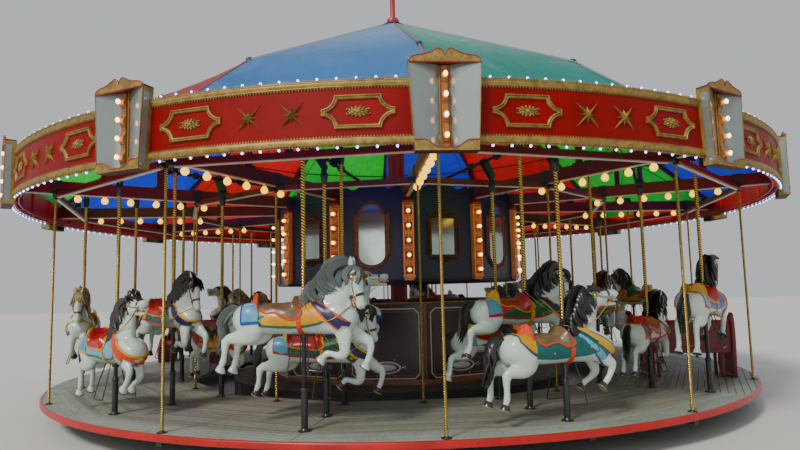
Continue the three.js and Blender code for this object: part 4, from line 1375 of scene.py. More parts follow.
def pear(r, n=10, neck=1.55, rows=7):
    """A lamp: a globe at the origin, with a neck along +z."""
    prof = []
    for t in np.linspace(-0.5 * math.pi * 0.92, 0.5 * math.pi * 0.62, rows):
        prof.append((r * math.cos(t), r * math.sin(t)))
    prof += [(r * 0.40, r * (1 + (neck - 1) * 0.55)), (r * 0.30, r * neck)]
    return turned_profile(prof, n)


def aimed(v, origin, way, up=(0, 0, 1)):
    """Points laid out along +z, turned to point along a direction."""
    w = np.array(way, float)
    w /= np.linalg.norm(w)
    x = np.cross(up, w)
    if np.linalg.norm(x) < 1e-6:
        x = np.cross((1.0, 0, 0), w)
    x /= np.linalg.norm(x)
    y = np.cross(w, x)
    v = np.asarray(v, float)
    return np.outer(v[:, 0], x) + np.outer(v[:, 1], y) + np.outer(v[:, 2], w) + np.array(origin, float)


def repeated(geo, make, angles):
    """Adds one bay's work at every angle."""
    bay = Geo()
    make(bay)
    for a in angles:
        geo.merge(bay, at(a))
    return geo


# ------------------------------------------------------------------ finishes
M_RED = paint("board_red", (0.225, 0.0006, 0.0006), rough=0.42, worn=0.50, coat=0.02, dirt=0.20, scale=2.2, dust=(0.13, 0.010, 0.010), gloss=0.16)
M_RIM = paint("rim_red", (0.42, 0.005, 0.003), rough=0.36, worn=0.6, coat=0.15, dirt=0.5, scale=2.6, dust=(0.24, 0.08, 0.06), gloss=0.4)
M_MAROON = wood_paint("beam_maroon", (0.150, 0.0040, 0.010), rough=0.42, along="r")
M_DARKRED = wood_paint("dark_red_board", (0.52, 0.004, 0.007), rough=0.45, along="r", dirt=0.6)
M_GOLD = gilt("band_gold", (0.33, 0.215, 0.050), rough=0.46)
M_GOLD2 = gilt("carving_gold", (0.50, 0.36, 0.13), rough=0.36)
M_BRASS = twist_metal("twisted_brass", (0.66, 0.46, 0.10), (0.22, 0.14, 0.035), 0.022)
M_BRASS2 = metal("plain_brass", (0.78, 0.52, 0.13), rough=0.22, worn=0.5, tarnish=(0.26, 0.16, 0.05))
M_BLACK = paint("black_enamel", (0.012, 0.012, 0.014), rough=0.36, worn=0.4, coat=0.3, dirt=0.35, dust=(0.12, 0.11, 0.10), scale=5)
M_IRON = paint("dark_iron", (0.028, 0.026, 0.028), rough=0.48, worn=0.5, coat=0.1, dirt=0.6, dust=(0.15, 0.13, 0.11), scale=6)
M_CREAM = paint("cream_strip", (0.66, 0.58, 0.44), rough=0.4, worn=0.4, coat=0.2, dirt=0.6, scale=5)
M_NAVY = wood_paint("drum_navy", (0.007, 0.010, 0.042), rough=0.36, along="z", coat=0.15)
M_NAVY2 = paint("drum_navy_light", (0.015, 0.022, 0.11), rough=0.34, coat=0.2)
M_SKIRT = paint("skirt_black", (0.020, 0.019, 0.019), rough=0.55, coat=0.05, dirt=0.9, dust=(0.14, 0.12, 0.10), scale=2)
# near-black: painted shade for the dark floor between the drum and the deck under the roof
M_FLOOR = deck_boards("inner_floor", (0.045, 0.038, 0.034))
M_DECK = deck_boards("deck_boards", (0.200, 0.205, 0.165), (0.270, 0.325, 0.280))
M_BROWN = wood_paint("shield_wood", (0.23, 0.085, 0.022), rough=0.34, along="z", coat=0.4)
# bright orange: the glow of the drum lamps on the pilasters is painted into the wood's colour
M_PILASTER = wood_paint("pilaster_wood_painted_lamplight", (0.88, 0.29, 0.055), rough=0.36, along="z", coat=0.25)
M_FRAME = gilt("frame_bronze", (0.25, 0.085, 0.028), rough=0.42)
M_FRAME2 = gilt("frame_dark_bronze", (0.135, 0.050, 0.018), rough=0.44)
M_MIRROR = mirror("drum_mirror", (0.42, 0.49, 0.44), rough=0.05)
# pale grey-blue body: milky glass plus a painted sky reflection, so the wings and cheeks read pale in any light
M_WING = cloudy("shield_mirror", (0.235, 0.275, 0.270))
M_BULB = glow("warm_globe", (1.0, 0.56, 0.010), 2.3, base=(0.90, 0.62, 0.08))
M_BULB2 = glow("spine_lamp", (1.0, 0.52, 0.14), 6.5)
# lamp sockets given a dim orange emission: a painted glow standing in for the lamplight that falls on them
M_CUP_PAINTED_GLOW = glow("lamp_cup_painted_glow", (1.0, 0.17, 0.012), 0.85, base=(0.45, 0.16, 0.03))
M_PEA = glow("small_cool_lamp", (0.36, 0.40, 1.0), 6.0, base=(0.70, 0.74, 0.95))
M_SILVER = metal("silver_leaf", (0.62, 0.62, 0.60), rough=0.3, worn=0.6)
M_WHITE = paint("ornament_white", (0.62, 0.62, 0.60), rough=0.4, worn=0.5, dirt=0.8, scale=8)
M_MASTRED = paint("mast_red", (0.40, 0.016, 0.018), rough=0.4, coat=0.2, dirt=0.7, scale=2)


# ------------------------------------------------------------------ fixed centre
def plinth():
    g = Geo()
    R, w, gap, top, bot = 2.788, 0.118, 0.006, DECK_TOP, 0.290
    y = -R
    while y < R - 0.02:
        y0, y1 = y + gap / 2, min(y + w - gap / 2, R - 0.004)
        ym = min(abs(y0), abs(y1)) if y0 * y1 > 0 else 0.0
        h = math.sqrt(max(0.0, R * R - max(abs(y0), abs(y1)) ** 2))
        if h > 0.06:
            hole = 0.175
            if y1 > -hole and y0 < hole:
                hx = math.sqrt(max(0.0, hole * hole - ym * ym)) + 0.004
                spans = [(-h, -hx), (hx, h)]
            else:
                spans = [(-h, h)]
            for a, b in spans:
                g.add(*bar(a, b, y0, y1, bot, top, 0.003), 0, False)
        y += w
    g.add(*sweep([(2.765, 0.0), (2.80, 0.0), (2.80, 0.325), (2.795, 0.33), (2.765, 0.33)], n=120), 1)
    g.add(*sweep([(2.80, 0.292), (2.812, 0.296), (2.812, 0.322), (2.80, 0.326)], n=120), 1)
    for k in range(48):
        g.merge(Geo().add(*bar(-0.011, 0.011, -2.808, -2.79, 0.012, 0.285, 0.003), 1, False), at(7.5 * k))
    g.add(*sweep([(0.166, 0.33), (0.215, 0.33), (0.215, 0.345), (0.200, 0.356), (0.166, 0.356)], n=48), 2)
    piece("plinth_floor", g, [M_FLOOR, M_SKIRT, M_IRON], "centre", ["base_plinth"])


def mast():
    prof = [(0.41, 0.0), (0.42, 0.008), (0.42, 0.052), (0.41, 0.060), (0.24, 0.075), (0.19, 0.10), (0.162, 0.135), (0.153, 0.18), (0.150, 0.30)]
    g = Geo()
    g.add(*turned_profile([(r, z) for r, z in prof] + [(0.150, 1.6), (0.150, 3.0), (0.150, 4.6), (0.150, 6.17), (0.146, 6.18), (0.098, 6.18), (0.095, 6.186),
                                                       (0.095, 6.59), (0.090, 6.60), (0.052, 6.682), (0.048, 6.70), (0.047, 7.0), (0.045, 7.3),
                                                       (0.044, 7.44)], 32), 0)
    g.add(*turned_profile([(0.030, 7.42), (0.066, 7.44), (0.071, 7.447), (0.071, 7.493), (0.066, 7.50), (0.038, 7.512), (0.034, 7.525), (0.042, 7.545)]
                          + [(0.075 * math.cos(t), 7.612 + 0.075 * math.sin(t)) for t in np.radians(np.linspace(-58, 80, 9))]
                          + [(0.012, 7.692), (0.006, 7.70)], 28), 1)
    g.add(*sweep([(0.096, 6.56), (0.112, 6.565), (0.116, 6.62), (0.108, 6.65), (0.090, 6.66)], n=32), 0)
    for z in (0.9, 2.0, 2.9):
        g.add(*sweep([(0.149, z), (0.160, z + 0.006), (0.163, z + 0.03), (0.160, z + 0.054), (0.149, z + 0.06)], n=32), 2)
    piece("centre_mast", g, [M_MASTRED, M_GOLD, M_IRON], "centre", ["centre_pole"])


def lower_drum():
    g = Geo()
    ap, half = 2.125, 2.2 * math.sin(math.radians(15))
    z0, z1 = DECK_TOP + 0.002, 1.48
    turn = -5.6

    def facet(b):
        w = half - 0.004
        b.add(on_wall(panel([(-w, z0), (w, z0), (w, z1), (-w, z1)], -0.034, 0.0, 0.002)[0], ap), panel([(-w, z0), (w, z0), (w, z1), (-w, z1)], -0.034, 0.0, 0.002)[1], 0, False)
        # corner post
        b.add(*turned_profile([(0.020, z0), (0.022, z0 + 0.02), (0.022, z1 - 0.02), (0.020, z1)], 10, half, -ap + 0.004), 1)
        # cream line frame with cut corners
        k = 0.075
        a, c0, c1 = w - 0.075, z0 + 0.08, z1 - 0.075
        path = dense([(a - k, c0), (a, c0 + k), (a, c1 - k), (a - k, c1), (-a + k, c1), (-a, c1 - k), (-a, c0 + k), (-a + k, c0)], 0.3)
        b.add(on_wall(mould(path, [(0, 0), (0, 0.006), (0.004, 0.009), (0.012, 0.009), (0.016, 0.006), (0.016, 0)])[0], ap),
              mould(path, [(0, 0), (0, 0.006), (0.004, 0.009), (0.012, 0.009), (0.016, 0.006), (0.016, 0)])[1], 2)
        p2 = inset(path, 0.045)
        m2 = mould(p2, [(0, 0), (0, 0.004), (0.006, 0.004), (0.006, 0)])
        b.add(on_wall(m2[0], ap), m2[1], 3)
        # oval ornament
        oc = (0.0, z0 + 0.24)
        ring = [(oc[0] + 0.215 * math.cos(t), oc[1] + 0.092 * math.sin(t)) for t in np.linspace(0, 2 * np.pi, 28, endpoint=False)]
        m3 = mould(ring, [(0, 0), (0, 0.010), (0.008, 0.018), (0.020, 0.018), (0.028, 0.010), (0.028, 0)])
        b.add(on_wall(m3[0], ap), m3[1], 4)
        b.add(on_wall(*[blob((oc[0], oc[1], 0.006), (1, 0, 0), (0, 1, 0), (0, 0, 1), (0.150, 0.050, 0.022), 18, 9)[0]], ap),
              blob((0, 0, 0), (1, 0, 0), (0, 1, 0), (0, 0, 1), (1, 1, 1), 18, 9)[1], 5)
        for s in (-1, 1):
            for j, (dx, dz, r) in enumerate([(0.245, 0.0, 0.024), (0.278, 0.018, 0.016), (0.278, -0.018, 0.016), (0.305, 0.0, 0.012), (0.13, 0.112, 0.014), (0.13, -0.112, 0.014)]):
                bl = blob((s * dx, oc[1] + dz, 0.004), (1, 0, 0), (0, 1, 0), (0, 0, 1), (r, r * 0.8, 0.014), 10, 6)
                b.add(on_wall(bl[0], ap), bl[1], 4)
    repeated(g, facet, [turn + 30 * k for k in range(12)])
    # plinth and cap mouldings run round on the corners
    for prof, m in (([(2.19, z0), (2.232, z0), (2.232, z0 + 0.045), (2.214, z0 + 0.07), (2.19, z0 + 0.07)], 1),
                    ([(2.15, 1.455), (2.222, 1.46), (2.230, 1.475), (2.222, 1.49), (2.15, 1.49)], 3)):
        v, f = sweep([(r * 1.0, z) for r, z in prof], turn - 15, turn + 345, 12)
        g.add(v, f, m, False)
    piece("lower_drum", g, [M_DRUMLOW, M_BROWN, M_CREAM, M_GOLD, M_SILVER, M_WHITE], "centre", ["centre_enclosure"], share=0.6)


M_DRUMLOW = wood_paint("drum_low_maroon", (0.040, 0.006, 0.010), rough=0.30, along="z", coat=0.4)
plinth()
mast()
lower_drum()


# ------------------------------------------------------------------ platform
def platform():
    g = Geo()
    lim = math.tan(math.radians(15))
    d = DECK_IN
    w, gap = 0.086, 0.006
    sec = Geo()
    Ro = 5.450
    while d * C15 < Ro:
        y0, y1 = d * C15 + gap / 2, d * C15 + w / C15 * C15 - gap / 2
        d += w / C15
        pts = []
        # the board lies across the bay between y0 and y1 from the axis; the section's sides are radial
        def xmax(y):
            e = lim * y - 0.004
            if math.hypot(e, y) > Ro:
                e = math.sqrt(max(0.0, Ro * Ro - y * y))
            return e
        if y0 >= Ro - 0.004:
            break
        y1 = min(y1, Ro - 0.001)
        e0, e1 = xmax(y0), xmax(y1)
        if e0 < 0.03:
            break
        outer = []
        if math.hypot(lim * y1, y1) > Ro:
            # the rim cuts this board
            t0 = math.atan2(e0, y0) if math.hypot(e0, y0) > Ro - 0.01 else math.asin(min(1.0, (lim * 1.0) / math.hypot(1, lim)))
            t1 = math.acos(min(1.0, y1 / Ro))
            t0 = min(t0, math.radians(15) - 0.0008)
            outer = [(Ro * math.sin(t), -Ro * math.cos(t)) for t in np.linspace(t0, t1, 4)]
        if outer:
            right = ([(e0, -y0)] if abs(outer[0][0] - e0) > 0.004 or abs(-outer[0][1] - y0) > 0.004 else []) + outer
        else:
            right = [(e0, -y0), (e1, -y1)]
        left = [(-x, y) for x, y in right[::-1]]
        poly = right + left
        v, f = panel([(p[0], p[1]) for p in poly][::-1], DECK_TOP - 0.042, DECK_TOP, 0.003)
        sec.add(v, f, 0, False)
    for k in range(12):
        g.merge(sec, at(11.3 + 30 * k - 7.1 - 0.0))
    # joists under the boards and the drum-side edge
    g.add(*sweep([(3.42, 0.286), (3.452, 0.286), (3.452, 0.328), (3.42, 0.328)], n=96), 1)
    for a in RODS:
        g.merge(Geo().add(*bar(-0.04, 0.04, -5.44, -3.46, 0.206, 0.286, 0.004), 1, False), at(a))
        g.merge(Geo().add(*bar(-0.03, 0.03, -5.44, -3.46, 0.226, 0.286, 0.004), 1, False), at(a + 15))
    piece("deck_planks", g, [M_DECK, M_IRON], "turntable", ["platform_deck"])
    r = Geo()
    r.add(*sweep([(5.452, 0.260), (5.480, 0.260), (5.486, 0.266), (5.486, 0.316), (5.482, 0.326), (5.474, 0.331), (5.460, 0.332), (5.452, 0.330)], n=240), 0)
    for k in range(72):
        v, f = turned_profile([(0.0062, 0.0), (0.0062, 0.003), (0.003, 0.005)], 8)
        r.add(aimed(v, (5.4855 * math.sin(math.radians(5 * k + 2)), -5.4855 * math.cos(math.radians(5 * k + 2)), 0.292),
                    (math.sin(math.radians(5 * k + 2)), -math.cos(math.radians(5 * k + 2)), 0)), f, 1)
    piece("deck_rim", r, [M_RIM, M_IRON], "turntable", ["platform_rim"])


def sleeves():
    for name, r in RINGS.items():
        g = Geo()
        n = 12
        c = r / C15
        rr = 0.045
        v, f = sweep([((r - rr) / C15, 0.205), ((r + rr) / C15, 0.205), ((r + rr) / C15, 0.2845), ((r - rr) / C15, 0.2845)], ROD0, ROD0 + 360, 12)
        g.add(v, f, 0, False)
        for k in range(12):
            if k in (2, 8):
                continue
            a = ROW0 + 30 * k
            x, y = r * math.sin(math.radians(a)), -r * math.cos(math.radians(a))
            v, f = sweep([(0.0285, 0.220), (0.033, 0.220), (0.033, 0.700), (0.0375, 0.704), (0.0375, 0.736), (0.034, 0.742), (0.0285, 0.742)], n=18)
            g.add(v + np.array([x, y, 0]), f, 0)
            v, f = sweep([(0.033, 0.331), (0.066, 0.331), (0.066, 0.335), (0.060, 0.339), (0.042, 0.341), (0.036, 0.350), (0.033, 0.358)], n=18)
            g.add(v + np.array([x, y, 0]), f, 0)
            for j in range(4):
                t = math.radians(45 + 90 * j)
                v, f = turned_profile([(0.0065, 0.336), (0.0065, 0.345), (0.004, 0.347)], 6, x + 0.051 * math.cos(t), y + 0.051 * math.sin(t))
                g.add(v, f, 1, False)
        piece(f"guide_tubes_{name}", g, [M_BLACK, M_IRON], "turntable", [f"pole_sleeves_{name}"])


platform()
sleeves()


# ------------------------------------------------------------------ rods, beams and cranks
def rods():
    for name, r in (("outer", 5.40), ("inner", 3.56)):
        g = Geo()

        def one(b):
            b.add(*turned_profile([(0.0152, 0.395 + 0.0001)] + [(0.0152, z) for z in np.linspace(0.60, 2.80, 12)] + [(0.0152, 2.955)], 12), 0)
            b.add(*turned_profile([(0.019, 0.352), (0.019, 0.385), (0.021, 0.389), (0.021, 0.397), (0.016, 0.401)], 12), 4)
            b.add(*turned_profile([(0.050, 0.331), (0.052, 0.334), (0.052, 0.338), (0.032, 0.342), (0.023, 0.347), (0.020, 0.356)], 14), 1)
            b.add(*turned_profile([(0.016, 2.950), (0.026, 2.952), (0.028, 2.962), (0.028, 2.970), (0.020, 2.975)], 12), 1)
        rod_bay = Geo()
        one(rod_bay)
        for a in RODS:
            g.merge(rod_bay, at(a, r))
        # chord beams between the radial ones
        half = r * math.sin(math.radians(15)) - 0.049
        ap = r * C15
        for k in range(12):
            b = Geo()
            b.add(*bar(-half, half, -ap - 0.035, -ap + 0.035, 2.97, 3.04, 0.005), 2, False)
            b.add(*bar(-half - 0.03, half + 0.03, -ap - 0.033, -ap + 0.033, 2.972, 3.026, 0.004), 2, False)
            b.add(*bar(-half + 0.05, half - 0.05, -ap - 0.020, -ap + 0.020, 2.958, 2.971, 0.002), 3, False)
            for s in (-1, 1):
                b.add(*bar(s * (half - 0.02) - 0.055, s * (half - 0.02) + 0.055, -ap - 0.041, -ap + 0.041, 2.98, 3.046, 0.003), 1, False)
                v, f = turned_profile([(0.010, 0.0), (0.010, 0.006), (0.006, 0.009)], 6)
                b.add(aimed(v, (s * (half - 0.045), -ap - 0.041, 3.013), (0, -1, 0)), f, 1, False)
            g.merge(b, at(ROW0 + 30 * k))
        piece(f"drop_rods_{name}", g, [M_BRASS, M_BLACK, M_MAROON, M_CREAM, M_BRASS2], "turntable", [f"{name}_ring_and_rods"])


LAMPS = [3.46, 3.80, 4.14, 4.48, 4.81, 5.14]


def beams():
    g = Geo()

    def one(b):
        b.add(*bar(-0.045, 0.045, -5.852, -0.42, 3.03, 3.19, 0.006), 0, False)
        b.add(*bar(-0.026, 0.026, -5.80, -2.15, 3.017, 3.0305, 0.002), 1, False)
        # an iron strap at the board, and the strut's shoe
        b.add(*bar(-0.052, 0.052, -5.47, -5.33, 3.022, 3.198, 0.004), 2, False)
        b.add(*bar(-0.052, 0.052, -3.62, -3.50, 3.022, 3.198, 0.004), 2, False)
        b.add(*bar(-0.050, 0.050, -2.16, -2.04, 3.024, 3.196, 0.004), 2, False)
        for r in LAMPS:
            v, f = turned_profile([(0.030, 3.026), (0.030, 3.016), (0.022, 3.010), (0.021, 2.994), (0.017, 2.990)], 12, 0, -r)
            b.add(v, f, 3)
    repeated(g, one, RODS)
    g.add(*sweep([(0.166, 3.032), (0.465, 3.032), (0.470, 3.038), (0.470, 3.182), (0.465, 3.188), (0.166, 3.188)], n=60), 0)
    g.add(*sweep([(0.462, 3.06), (0.482, 3.064), (0.482, 3.156), (0.462, 3.16)], n=60), 2)
    piece("radial_beams", g, [M_MAROON, M_CREAM, M_IRON, M_BRASS2], "turntable", ["sweeps"])
    b = Geo()
    lamp = pear(0.0455, n=16, neck=1.5, rows=9)
    for a in RODS:
        t = Geo()
        for r in LAMPS:
            t.add(lamp[0] + np.array([0, -r, 2.938 + 0.018 * (r - 3.46)]), lamp[1], 0)
        b.merge(t, at(a))
    piece("beam_lamps", b, [M_BULB], "turntable")


def cranks():
    g = Geo()
    phase = {11: 1, 10: -1, 0: -1, 1: 1, 3: 1, 4: 0, 5: -1, 6: 1, 7: 0, 9: 0}
    for k, ph in phase.items():
        b = Geo()
        x0 = -CRANK_OFF
        v, f = tube([(x0, -5.18, CRANK_Z), (x0, -3.0, CRANK_Z), (x0, -0.99, CRANK_Z)], 0.022, n=12, up=(1, 0, 0))
        b.add(v, f, 0)
        b.add(*bar(x0 - 0.034, x0 + 0.034, -5.192, -5.12, 3.041, 3.165, 0.004), 1, False)
        b.add(*bar(x0 - 0.050, x0 + 0.050, -5.186, -5.126, 3.160, 3.190, 0.004), 1, False)
        for y in (-5.156, -4.68, -3.97, -3.27, -1.16):
            v, f = turned_profile([(0.022, -0.030), (0.044, -0.028), (0.048, -0.022), (0.048, 0.022), (0.044, 0.028), (0.022, 0.030)], 14)
            b.add(aimed(v, (x0, y, CRANK_Z), (0, 1, 0)), f, 1)
        for place, r in RINGS.items():
            t = ph if place != "middle" else -ph
            dz = t * THROW
            for s in (-1, 1):
                y = -r + s * 0.040
                way = np.array([CRANK_OFF, 0, dz])
                ln = np.linalg.norm(way)
                way /= ln
                up = np.array([-way[2], 0, way[0]])
                prof = arc(0, 0, 0.040, 90, 270, 8) + arc(ln, 0, 0.032, -90, 90, 8)
                v, f = panel(prof, -0.008, 0.008, 0.002)
                p = np.outer(v[:, 0], way) + np.outer(v[:, 1], up) + np.outer(v[:, 2], (0, 1, 0)) + np.array([x0, y, CRANK_Z])
                b.add(p, f, 0, False)
            v, f = turned_profile([(0.017, -0.052), (0.017, 0.052)], 10)
            b.add(aimed(v, (0.0, -r, CRANK_Z + dz), (0, 1, 0)), f, 1)
        # bevel wheel at the drum end
        v, f = turned_profile([(0.03, -0.035), (0.085, -0.03), (0.125, 0.010), (0.125, 0.022), (0.03, 0.026)], 24)
        b.add(aimed(v, (x0, -1.055, CRANK_Z), (0, 1, 0)), f, 1, False)
        g.merge(b, at(ROW0 + 30 * k))
    g.add(*sweep([(0.94, 3.20), (1.06, 3.20), (1.06, 3.225), (1.02, 3.235), (1.02, 3.28), (0.94, 3.28)], n=72), 1)
    piece("crank_line", g, [M_BLACK, M_IRON], "turntable", ["crankshafts"])


rods()
beams()
cranks()


# ------------------------------------------------------------------ upper drum
def rect(x0, x1, z0, z1):
    return [(x0, z0), (x1, z0), (x1, z1), (x0, z1)]


def upper_drum():
    g = Geo()
    NAVY, NAVY2, GOLD, WOOD, GLASS, RED, DARK, CUP, FRAME = range(9)
    ap = 2.1 * C15
    half = 2.1 * math.sin(math.radians(15))

    def flat(b, vf, mat, smooth=True):
        b.add(on_wall(vf[0], ap), vf[1], mat, smooth)

    def facet(b, kind):
        w = half - 0.003
        # the panel, with a scalloped crest between the beams
        crest = [(w - 0.075, 3.02), (w - 0.085, 3.155)] + [(x, 3.205 + 0.040 * math.cos(x * 11.5) + 0.012 * math.cos(x * 34)) for x in np.linspace(w - 0.13, 0.0, 12)]
        crest = crest + [(-x, z) for x, z in crest[::-1][1:]]
        out = [(-w, 1.772), (w, 1.772), (w, 3.02)] + crest + [(-w, 3.02)]
        v, f = panel(dense(out, 0.4), -0.034, 0.0, 0.003)
        flat(b, (v, f), NAVY, False)
        # a thin raised bead of the same navy
        fw = half - 0.105
        path = dense(rect(-fw, fw, 1.845, 3.055), 0.4)
        flat(b, mould(path, [(0, 0), (0, 0.005), (0.004, 0.008), (0.010, 0.008), (0.014, 0.005), (0.014, 0)]), NAVY2)
        if kind == 0:
            # a tall mirror with a stepped arch above and a rounded foot, in a broad flat frame
            glass = arc(0, 2.187, 0.200, 180, 360, 15, 0.154) + [(0.200, 2.760)] + arc(0, 2.772, 0.158, 0, 180, 13, 0.155) + [(-0.200, 2.760)]
            outer = arc(0, 2.159, 0.236, 184, 356, 15, 0.186) + [(0.282, 2.159), (0.282, 2.785)] + arc(0, 2.785, 0.208, 0, 180, 13, 0.186) + [(-0.282, 2.785), (-0.282, 2.159)]
            glass, outer = dense(glass, 0.12), dense(outer, 0.12)
            flat(b, panel(outer, -0.002, 0.016, 0.003), FRAME, False)
            flat(b, panel(glass, 0.010, 0.0185, 0.001), GLASS, False)
            flat(b, mould(inset(glass, -0.010), [(0, 0.010), (0, 0.022), (0.004, 0.028), (0.010, 0.027), (0.014, 0.020), (0.014, 0.010)]), FRAME)
            flat(b, mould(inset(outer, 0.006), [(0, 0.010), (0, 0.022), (0.005, 0.027), (0.011, 0.022), (0.011, 0.010)]), FRAME)
            tops = [(0.0, 2.958, 0.040, 0.020), (0.0, 1.990, 0.040, 0.018)] + [(s * 0.255, z, 0.018, 0.018) for s in (-1, 1) for z in (2.765, 2.180)]
        else:
            # an oblong mirror in a scrolled frame
            hw, zb, zt = 0.186, 2.168, 2.715
            path = dense(rect(-hw, hw, zb, zt), 0.1)
            flat(b, panel(path, -0.002, 0.006, 0.001), GLASS, False)
            flat(b, mould(inset(path, -0.042), [(0, 0), (0, 0.016), (0.010, 0.030), (0.022, 0.030), (0.030, 0.020), (0.040, 0.022), (0.048, 0.008), (0.048, 0)]), DARK)
            tops = []
            for i, x in enumerate(np.linspace(-hw - 0.02, hw + 0.02, 9)):
                up = 0.052 + 0.050 * math.exp(-(x / 0.09) ** 2)
                tops.append((x, zt + up * 0.85, 0.022 + 0.012 * math.exp(-(x / 0.09) ** 2), 0.020 + 0.018 * math.exp(-(x / 0.09) ** 2)))
                tops.append((x, zb - up * 0.80, 0.022, 0.018 + 0.012 * math.exp(-(x / 0.09) ** 2)))
            for z in np.linspace(zb + 0.03, zt - 0.03, 9):
                for s in (-1, 1):
                    tops.append((s * (hw + 0.056), z, 0.018, 0.026))
        for x, z, rx, rz in tops:
            v, f = blob((x, z, 0.006), (1, 0, 0), (0, 1, 0), (0, 0, 1), (rx, rz, 0.022), 12, 7)
            flat(b, (v, f), DARK if kind else FRAME)
            t = np.linspace(0, 1.6 * np.pi, 9)
            q = np.stack([x + rx * 1.25 * np.cos(t), z + rz * 1.25 * np.sin(t), 0.010 + 0 * t], 1)
            flat(b, tube(q, np.linspace(0.007, 0.003, 9), n=6, up=(0, 0, 1)), DARK if kind else FRAME)
    for kind in (0, 1):
        b = Geo()
        facet(b, kind)
        for k in range(6):
            g.merge(b, at(-10.8 + 30 * kind + 60 * k))
    # drum foot and cornice
    g.add(*sweep([(2.075, 1.770), (2.112, 1.770), (2.118, 1.785), (2.112, 1.806), (2.098, 1.820), (2.075, 1.820)], ROD0, ROD0 + 360, 12), NAVY, False)
    # pilasters with lamps over each corner

    def pilaster(b):
        y0 = -2.142
        b.add(*bar(-0.0825, 0.0825, y0, -2.05, 1.870, 2.940, 0.005), WOOD, False)
        for x in (-0.0700, 0.0700):
            b.add(*bar(x - 0.0110, x + 0.0110, y0 - 0.010, y0 + 0.004, 1.885, 2.925, 0.003), WOOD, False)
        b.add(*bar(-0.090, 0.090, y0 - 0.018, -2.05, 1.838, 1.880, 0.005), WOOD, False)
        b.add(*bar(-0.090, 0.090, y0 - 0.018, -2.05, 2.930, 2.965, 0.005), FRAME, False)
        b.add(*bar(-0.056, 0.056, y0 - 0.002, y0 + 0.004, 1.890, 2.920, 0.001), DARK, False)
        b.add(*bar(-0.070, 0.070, y0 - 0.006, -2.05, 1.800, 1.842, 0.005), WOOD, False)
        b.add(*bar(-0.074, 0.074, y0 - 0.008, -2.05, 2.960, 3.018, 0.005), RED, False)
        for i in range(5):
            z = 1.953 + 0.2137 * i
            v, f = turned_profile([(0.038, 0.0), (0.040, 0.006), (0.036, 0.012), (0.030, 0.013)], 18)
            b.add(aimed(v, (0, y0, z), (0, -1, 0)), f, GOLD)
            # the socket cup round each lamp has a painted glow of the lamplight
            v, f = turned_profile([(0.033, 0.008), (0.032, 0.017), (0.020, 0.015), (0.014, 0.024), (0.010, 0.025)], 18)
            b.add(aimed(v, (0, y0, z), (0, -1, 0)), f, CUP)
            # reeds between the lamps
            lo, hi = z + 0.048, min(z + 0.166, 2.915)
            for x in (-0.044, -0.022, 0.0, 0.022, 0.044):
                b.add(*tube(np.array([(x, y0 - 0.002, q) for q in np.linspace(lo, hi, 4)]), [0.004, 0.0085, 0.0085, 0.004], n=8, up=(0, 1, 0)), WOOD)
    repeated(g, pilaster, RODS)
    piece("mirror_drum", g, [M_NAVY, M_NAVY2, M_GOLD2, M_PILASTER, M_MIRROR, M_RED, M_FRAME2, M_CUP_PAINTED_GLOW, M_FRAME], "turntable", ["upper_drum"], share=0.45)
    lamps = Geo()
    lp = pear(0.026, n=12, neck=1.5, rows=7)
    b = Geo()
    for i in range(5):
        b.add(aimed(lp[0] * np.array([1, 1, -1.0]), (0, -2.142 - 0.054, 1.953 + 0.2137 * i), (0, -1, 0)), lp[1], 0)
    for a in RODS:
        lamps.merge(b, at(a))
    piece("drum_lamps", lamps, [M_BULB2], "turntable")


upper_drum()


# ------------------------------------------------------------------ rounding boards
MID_Z = 3.207       # middle of the boards' red field


def cartouche():
    """A frame with hollow corners and a carved boss, laid out flat."""
    g = Geo()
    a, h, t, s = 0.207, 0.150, 0.325, 0.030
    path = [(a, h), (-a, h)] + arc(-t, h, t - a, 0, -90, 7, h - s)[1:] + arc(-t, -h, t - a, 90, 0, 7, h - s)[:-1] + [(-a, -h), (a, -h)] \
        + arc(t, -h, t - a, 180, 90, 7, h - s)[1:] + arc(t, h, t - a, 270, 180, 7, h - s)[:-1]
    path = [p for i, p in enumerate(path) if math.dist(p, path[i - 1]) > 1e-5]
    path = dense(path, 0.07)
    g.add(*mould(path, [(0, 0), (0, 0.016), (0.004, 0.024), (0.010, 0.025), (0.0155, 0.014), (0.020, 0.014), (0.025, 0.022), (0.031, 0.020), (0.038, 0.010), (0.038, 0)]), 0)
    # the boss: a domed middle in rings of leaves, longer at the sides
    g.add(*blob((0, 0, 0.002), (1, 0, 0), (0, 1, 0), (0, 0, 1), (0.084, 0.036, 0.010), 24, 8), 0)
    g.add(*blob((0, 0, 0.010), (1, 0, 0), (0, 1, 0), (0, 0, 1), (0.026, 0.018, 0.020), 14, 8), 0)
    for i in range(8):
        q = 2 * math.pi * (i + 0.5) / 8
        g.add(*blob((0.048 * math.cos(q), 0.026 * math.sin(q), 0.008), (math.cos(q), math.sin(q), 0), (-math.sin(q), math.cos(q), 0), (0, 0, 1), (0.019, 0.0100, 0.015), 9, 6), 0)
    for i in range(14):
        q = 2 * math.pi * i / 14
        g.add(*blob((0.080 * math.cos(q), 0.040 * math.sin(q), 0.005), (math.cos(q), math.sin(q), 0), (-math.sin(q), math.cos(q), 0), (0, 0, 1), (0.016, 0.0100, 0.012), 8, 5), 0)
    for s in (-1, 1):
        for e in (-1, 1):
            t = np.linspace(0, 1.5 * np.pi, 9)
            q = np.stack([s * (0.088 + 0.016 * np.cos(t)), e * (0.014 + 0.012 * np.sin(t)), 0.008 + 0 * t], 1)
            g.add(*tube(q, np.linspace(0.0065, 0.003, 9), n=6, up=(0, 0, 1)), 0)
    return g


